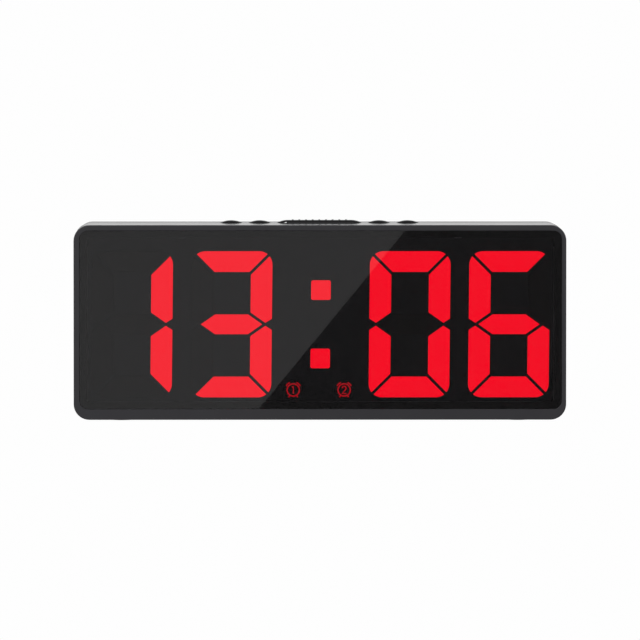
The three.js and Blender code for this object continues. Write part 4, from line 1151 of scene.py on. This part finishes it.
class CLOCK_OT_contacts(bpy.types.Operator):
    """Makes the battery contacts: pressed plates with coil springs and dimples"""

    bl_idname = "clock.contacts"
    bl_label = "Battery contacts"

    def execute(self, context):
        material = plated_steel(NICKEL)
        # The bay's side, and the cells whose positive and negative ends the contact meets
        served = {
            "positive_contact": (-1, (1,), ()),
            "negative_contact": (1, (), (3,)),
            "left_bridge_contact": (-1, (3,), (2,)),
            "right_bridge_contact": (1, (2,), (1,)),
        }
        thick, half, front_gap, half_tag = 0.4 * MM, 4.2 * MM, 0.2 * MM, 1.1 * MM
        pressed_edge, squeeze = 0.06 * MM, 0.25 * MM
        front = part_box("battery_cell_1")[0].y - front_gap
        for node, (way, positive, negative) in served.items():
            low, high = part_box(node)
            wall = high.x if way > 0 else low.x
            face = wall - way * thick
            cells = [centre_of(f"battery_cell_{n}") for n in sorted(positive + negative)]
            sides = sorted((face, wall))
            parts = [self.plate(sides, front, cells[0].y + half, cells[0].z - half, cells[-1].z + half)]
            for n in positive:
                parts.append(self.dimple(n, way, face))
            if len(cells) == 1:
                z = cells[0].z
                inside = (sides[0] + HAIRLINE, sides[1] - HAIRLINE)
                parts.append(self.plate(inside, low.y, front + half_tag, z - half_tag, z + half_tag))
            obj = new_object(f"{node}_plate", merged(*parts))
            settle(obj, pressed_edge, sharp=40)
            finish_piece(obj, material, "case", "plated_steel", [node])
            for n in negative:
                end = self.cell_end(n, way) + way * squeeze
                spring = self.spring(f"cell_{n}_spring", face, end, centre_of(f"battery_cell_{n}"), material)
                finish_piece(spring, material, "case", "plated_steel")
        return {"FINISHED"}

    def cell_end(self, n, way):
        """Where a cell ends on the bay's side that this way points to."""
        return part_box(f"battery_cell_{n}")[1 if way > 0 else 0].x

    def plate(self, sides, y0, y1, z0, z1):
        """A flat plate between two places in X."""
        outline = ((y0, z0), (y1, z0), (y1, z1), (y0, z1))
        return skin([[(x, y, z) for y, z in outline] for x in sides])

    def dimple(self, n, way, face):
        """The pressed dimple that meets a cell's positive end."""
        centre = centre_of(f"battery_cell_{n}")
        rise = abs(self.cell_end(n, way) - face) - CLEARANCE
        foot, side, brow = 2.2 * MM, 1.7 * MM, 1 * MM
        profile = [(0, -CLEARANCE), (foot, -CLEARANCE), (foot, 0)]
        profile += [(side, rise * 0.7), (brow, rise * 0.95), (0, rise)]
        return turned([(r, -way * h) for r, h in profile], (face, centre.y, centre.z), "X", 24)

    def spring(self, name, start, end, centre, material):
        """A conical coil from the plate to the cell, with a flat turn at each end."""
        turns, steps, flat = 4.5, 26, 0.08
        wide, narrow, wire = 3.4 * MM, 2.1 * MM, 0.22 * MM
        count = int(turns * steps)
        points = []
        for i in range(count + 1):
            share = i / count
            radius = wide + (narrow - wide) * share
            angle = 2 * math.pi * turns * share
            x = start + (end - start) * min(max((share - flat) / (1 - 2 * flat), 0), 1)
            points.append((x, centre.y + radius * math.cos(angle), centre.z + radius * math.sin(angle)))
        coil = path_object(name, [(points, False)])
        return grow(coil, wire_tree(), {"Radius": wire, "Material": material})


class CLOCK_OT_power_socket(bpy.types.Operator):
    """Rounds the pressed shell of the power socket"""

    bl_idname = "clock.power_socket"
    bl_label = "Power socket"

    def execute(self, context):
        folded_edge = 0.05 * MM
        socket = cad_copy("power_socket", "power_socket_shell")
        settle(socket, folded_edge, sharp=32)
        finish_piece(socket, plated_steel(NICKEL), "case", "plated_steel", ["power_socket"])
        return {"FINISHED"}


class CLOCK_OT_inner_finishes(bpy.types.Operator):
    """Gives every CAD node that still shows its own material"""

    bl_idname = "clock.inner_finishes"
    bl_label = "Inner finishes"

    def execute(self, context):
        finishes = {
            "foam_tape": soft_plastic("foam tape", "#101011", "#1c1c1e", 0.3 * MM, 0.85),
            "mask_film": matt_ink("#2c2c30"),
            "reflector_plastic": soft_plastic("white polystyrene", "#dcdcd8", "#c8c8c4", 4 * MM, 0.6),
            "circuit_board": circuit_board("#1d5a34"),
            "component_black": soft_plastic("moulded epoxy", "#141415", "#1f1f21", 0.6 * MM, 0.5),
            "plated_steel": plated_steel(NICKEL),
            "wire_red": soft_plastic("red PVC sleeve", "#a8141b", "#7d0c12", 1.5 * MM, 0.45),
            "wire_black": soft_plastic("black PVC sleeve", "#141414", "#222223", 1.5 * MM, 0.45),
            "ribbon_cable": ribbon_cable("#b9b9b5"),
        }
        slots = {s["node"]: s["material_slot"] for s in frame["record"]["subparts"]}
        for name, node in frame["nodes"].items():
            if slots[name] in finishes:
                node.data.materials.clear()
                node.data.materials.append(finishes[slots[name]])
        return {"FINISHED"}


def look_along(obj, direction):
    """Turns a camera or a lamp to look along a direction."""
    obj.rotation_mode = "QUATERNION"
    obj.rotation_quaternion = direction.to_track_quat("-Z", "Y")


class CLOCK_OT_stage(bpy.types.Operator):
    """Makes the camera, the round pale room, the mirrored cards and the light"""

    bl_idname = "clock.stage"
    bl_label = "Stage"

    def execute(self, context):
        stage = context.scene.clock_stage
        low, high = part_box("front_frame")
        middle = Vector(((low.x + high.x) / 2, low.y, (low.z + high.z) / 2))
        camera = self.camera(context, stage, middle)
        self.room(stage)
        self.cards(stage, camera, middle)
        self.lights(middle)
        self.sky(context)
        context.scene.view_settings.view_transform = "Standard"
        return {"FINISHED"}

    def camera(self, context, stage, middle):
        """A long lens, so that the case's edges stay nearly parallel."""
        data = bpy.data.cameras.new("camera")
        data.sensor_width = 36
        data.lens = data.sensor_width * stage.camera_distance / stage.field_width
        data.clip_end = 20
        camera = linked("camera", data)
        a, e = stage.camera_azimuth, stage.camera_elevation
        back = Vector((math.sin(a) * math.cos(e), -math.cos(a) * math.cos(e), math.sin(e)))
        aim = middle + Vector((0, 0, stage.aim_rise))
        camera.location = aim + back * stage.camera_distance
        look_along(camera, -back)
        context.scene.camera = camera
        return camera

    def hide_from_rays(self, obj, *kinds):
        """Leaves an object out of these kinds of light rays."""
        for kind in kinds:
            setattr(obj, f"visible_{kind}", False)

    def room(self, stage):
        """A round floor that curves up into a wall. The clock doesn't mirror it."""
        radius, bend, height = stage.room_radius, 0.6, 4.0
        profile = [(0, 0)] + arc(radius - bend, bend, bend, -90, 0, 12) + [(radius, height)]
        room = new_object("room", turned(profile, sides=96))
        room.data.shade_smooth()
        room.data.materials.append(glowing("pale room", stage.room_glow))
        self.hide_from_rays(room, "glossy", "diffuse", "transmission")

    def cards(self, stage, camera, middle):
        """Two cards in front of the clock, met along the slanted edge that the lens mirrors."""
        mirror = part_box("front_lens")[0].y
        eye = Vector((camera.location.x, 2 * mirror - camera.location.y, camera.location.z))
        wall = mirror - stage.card_distance

        def mirrored(offset):
            spot = Vector((middle.x + offset[0], mirror, middle.z + offset[1]))
            return eye + (spot - eye) * ((wall - eye.y) / (mirror - eye.y))

        top = mirrored(stage.card_edge_top)
        bottom = mirrored(stage.card_edge_bottom)
        along = (top - bottom).normalized()
        # The cards reach past the part of them that the lens mirrors
        past, width = 20 * MM, 160 * MM
        top, bottom = top + along * past, bottom - along * past
        cards = (("light_card", -1, stage.light_card), ("dark_card", 1, stage.dark_card))
        for name, way, brightness in cards:
            reach = middle.x + way * width
            bm = bmesh.new()
            corners = [top, bottom, Vector((reach, wall, bottom.z)), Vector((reach, wall, top.z))]
            bm.faces.new([bm.verts.new(c) for c in corners])
            card = new_object(name, bm)
            card.data.materials.append(glowing(name, brightness))
            self.hide_from_rays(card, "camera", "diffuse", "transmission", "shadow")

    def lights(self, middle):
        """Soft lamps round the clock, all turned to it: the key stands at the upper left."""
        for name, (place, size, watts) in LAMPS.items():
            data = bpy.data.lights.new(name, "AREA")
            data.size = size
            data.energy = watts
            light = linked(name, data)
            light.location = place
            self.hide_from_rays(light, "transmission")
            look_along(light, middle - light.location)

    def sky(self, context):
        """A dim studio, with a white backdrop that stands low behind the clock."""
        world = bpy.data.worlds.new("studio")
        context.scene.world = world
        world.use_nodes = True
        tree = world.node_tree
        tree.nodes.clear()
        direction = add_node(tree, "ShaderNodeTexCoord").outputs["Generated"]
        parts = add_node(tree, "ShaderNodeSeparateXYZ", {"Vector": direction}).outputs
        full = {"Value": parts["Z"], "From Min": -1.0, "From Max": 1.0}
        height = add_node(tree, "ShaderNodeMapRange", full)
        greys = []
        for stops in (SKY_STUDIO, SKY_BACKDROP):
            ramp = add_node(tree, "ShaderNodeValToRGB", {"Fac": height})
            elements = ramp.color_ramp.elements
            while len(elements) < len(stops):
                elements.new(0.5)
            for element, (sine, level) in zip(elements, stops):
                element.position = (sine + 1) / 2
                element.color = (level, level, level, 1)
            greys.append(ramp)
        behind = add_node(tree, "ShaderNodeMapRange", {"Value": parts["Y"], "From Min": 0.2, "From Max": 0.7})
        both = {"Factor": behind, 6: greys[0], 7: greys[1]}
        tone = add_node(tree, "ShaderNodeMix", both, data_type="RGBA").outputs[2]
        background = add_node(tree, "ShaderNodeBackground", {"Color": tone})
        add_node(tree, "ShaderNodeOutputWorld", {"Surface": background})


class CLOCK_PT_panel(bpy.types.Panel):
    """Lists the clock's pieces and their settings"""

    bl_label = "Desk Alarm Clock"
    bl_space_type = "VIEW_3D"
    bl_region_type = "UI"
    bl_category = "Clock"

    def draw(self, context):
        scene = context.scene
        for operator in OPERATORS:
            self.layout.operator(operator.bl_idname)
        for settings in (scene.clock_display, scene.clock_case, scene.clock_keys, scene.clock_stage):
            box = self.layout.box()
            for name in settings.__annotations__:
                box.prop(settings, name)


SETTINGS = {
    "clock_display": ClockDisplaySettings,
    "clock_case": ClockCaseSettings,
    "clock_keys": ClockKeySettings,
    "clock_stage": ClockStageSettings,
}
OPERATORS = (
    CLOCK_OT_stage,
    CLOCK_OT_front_frame,
    CLOCK_OT_lens,
    CLOCK_OT_digits,
    CLOCK_OT_centre_signs,
    CLOCK_OT_rear_housing,
    CLOCK_OT_battery_door,
    CLOCK_OT_round_keys,
    CLOCK_OT_snooze_bar,
    CLOCK_OT_screws,
    CLOCK_OT_feet,
    CLOCK_OT_cells,
    CLOCK_OT_contacts,
    CLOCK_OT_power_socket,
    CLOCK_OT_inner_finishes,
)


def register():
    for name, settings in SETTINGS.items():
        bpy.utils.register_class(settings)
        setattr(bpy.types.Scene, name, PointerProperty(type=settings))
    for cls in (*OPERATORS, CLOCK_PT_panel):
        bpy.utils.register_class(cls)


def unregister():
    for cls in (CLOCK_PT_panel, *reversed(OPERATORS)):
        bpy.utils.unregister_class(cls)
    for name, settings in SETTINGS.items():
        delattr(bpy.types.Scene, name)
        bpy.utils.unregister_class(settings)


def main():
    register()
    for operator in OPERATORS:
        group, name = operator.bl_idname.split(".")
        getattr(getattr(bpy.ops, group), name)()


if __name__ == "__main__":
    main()
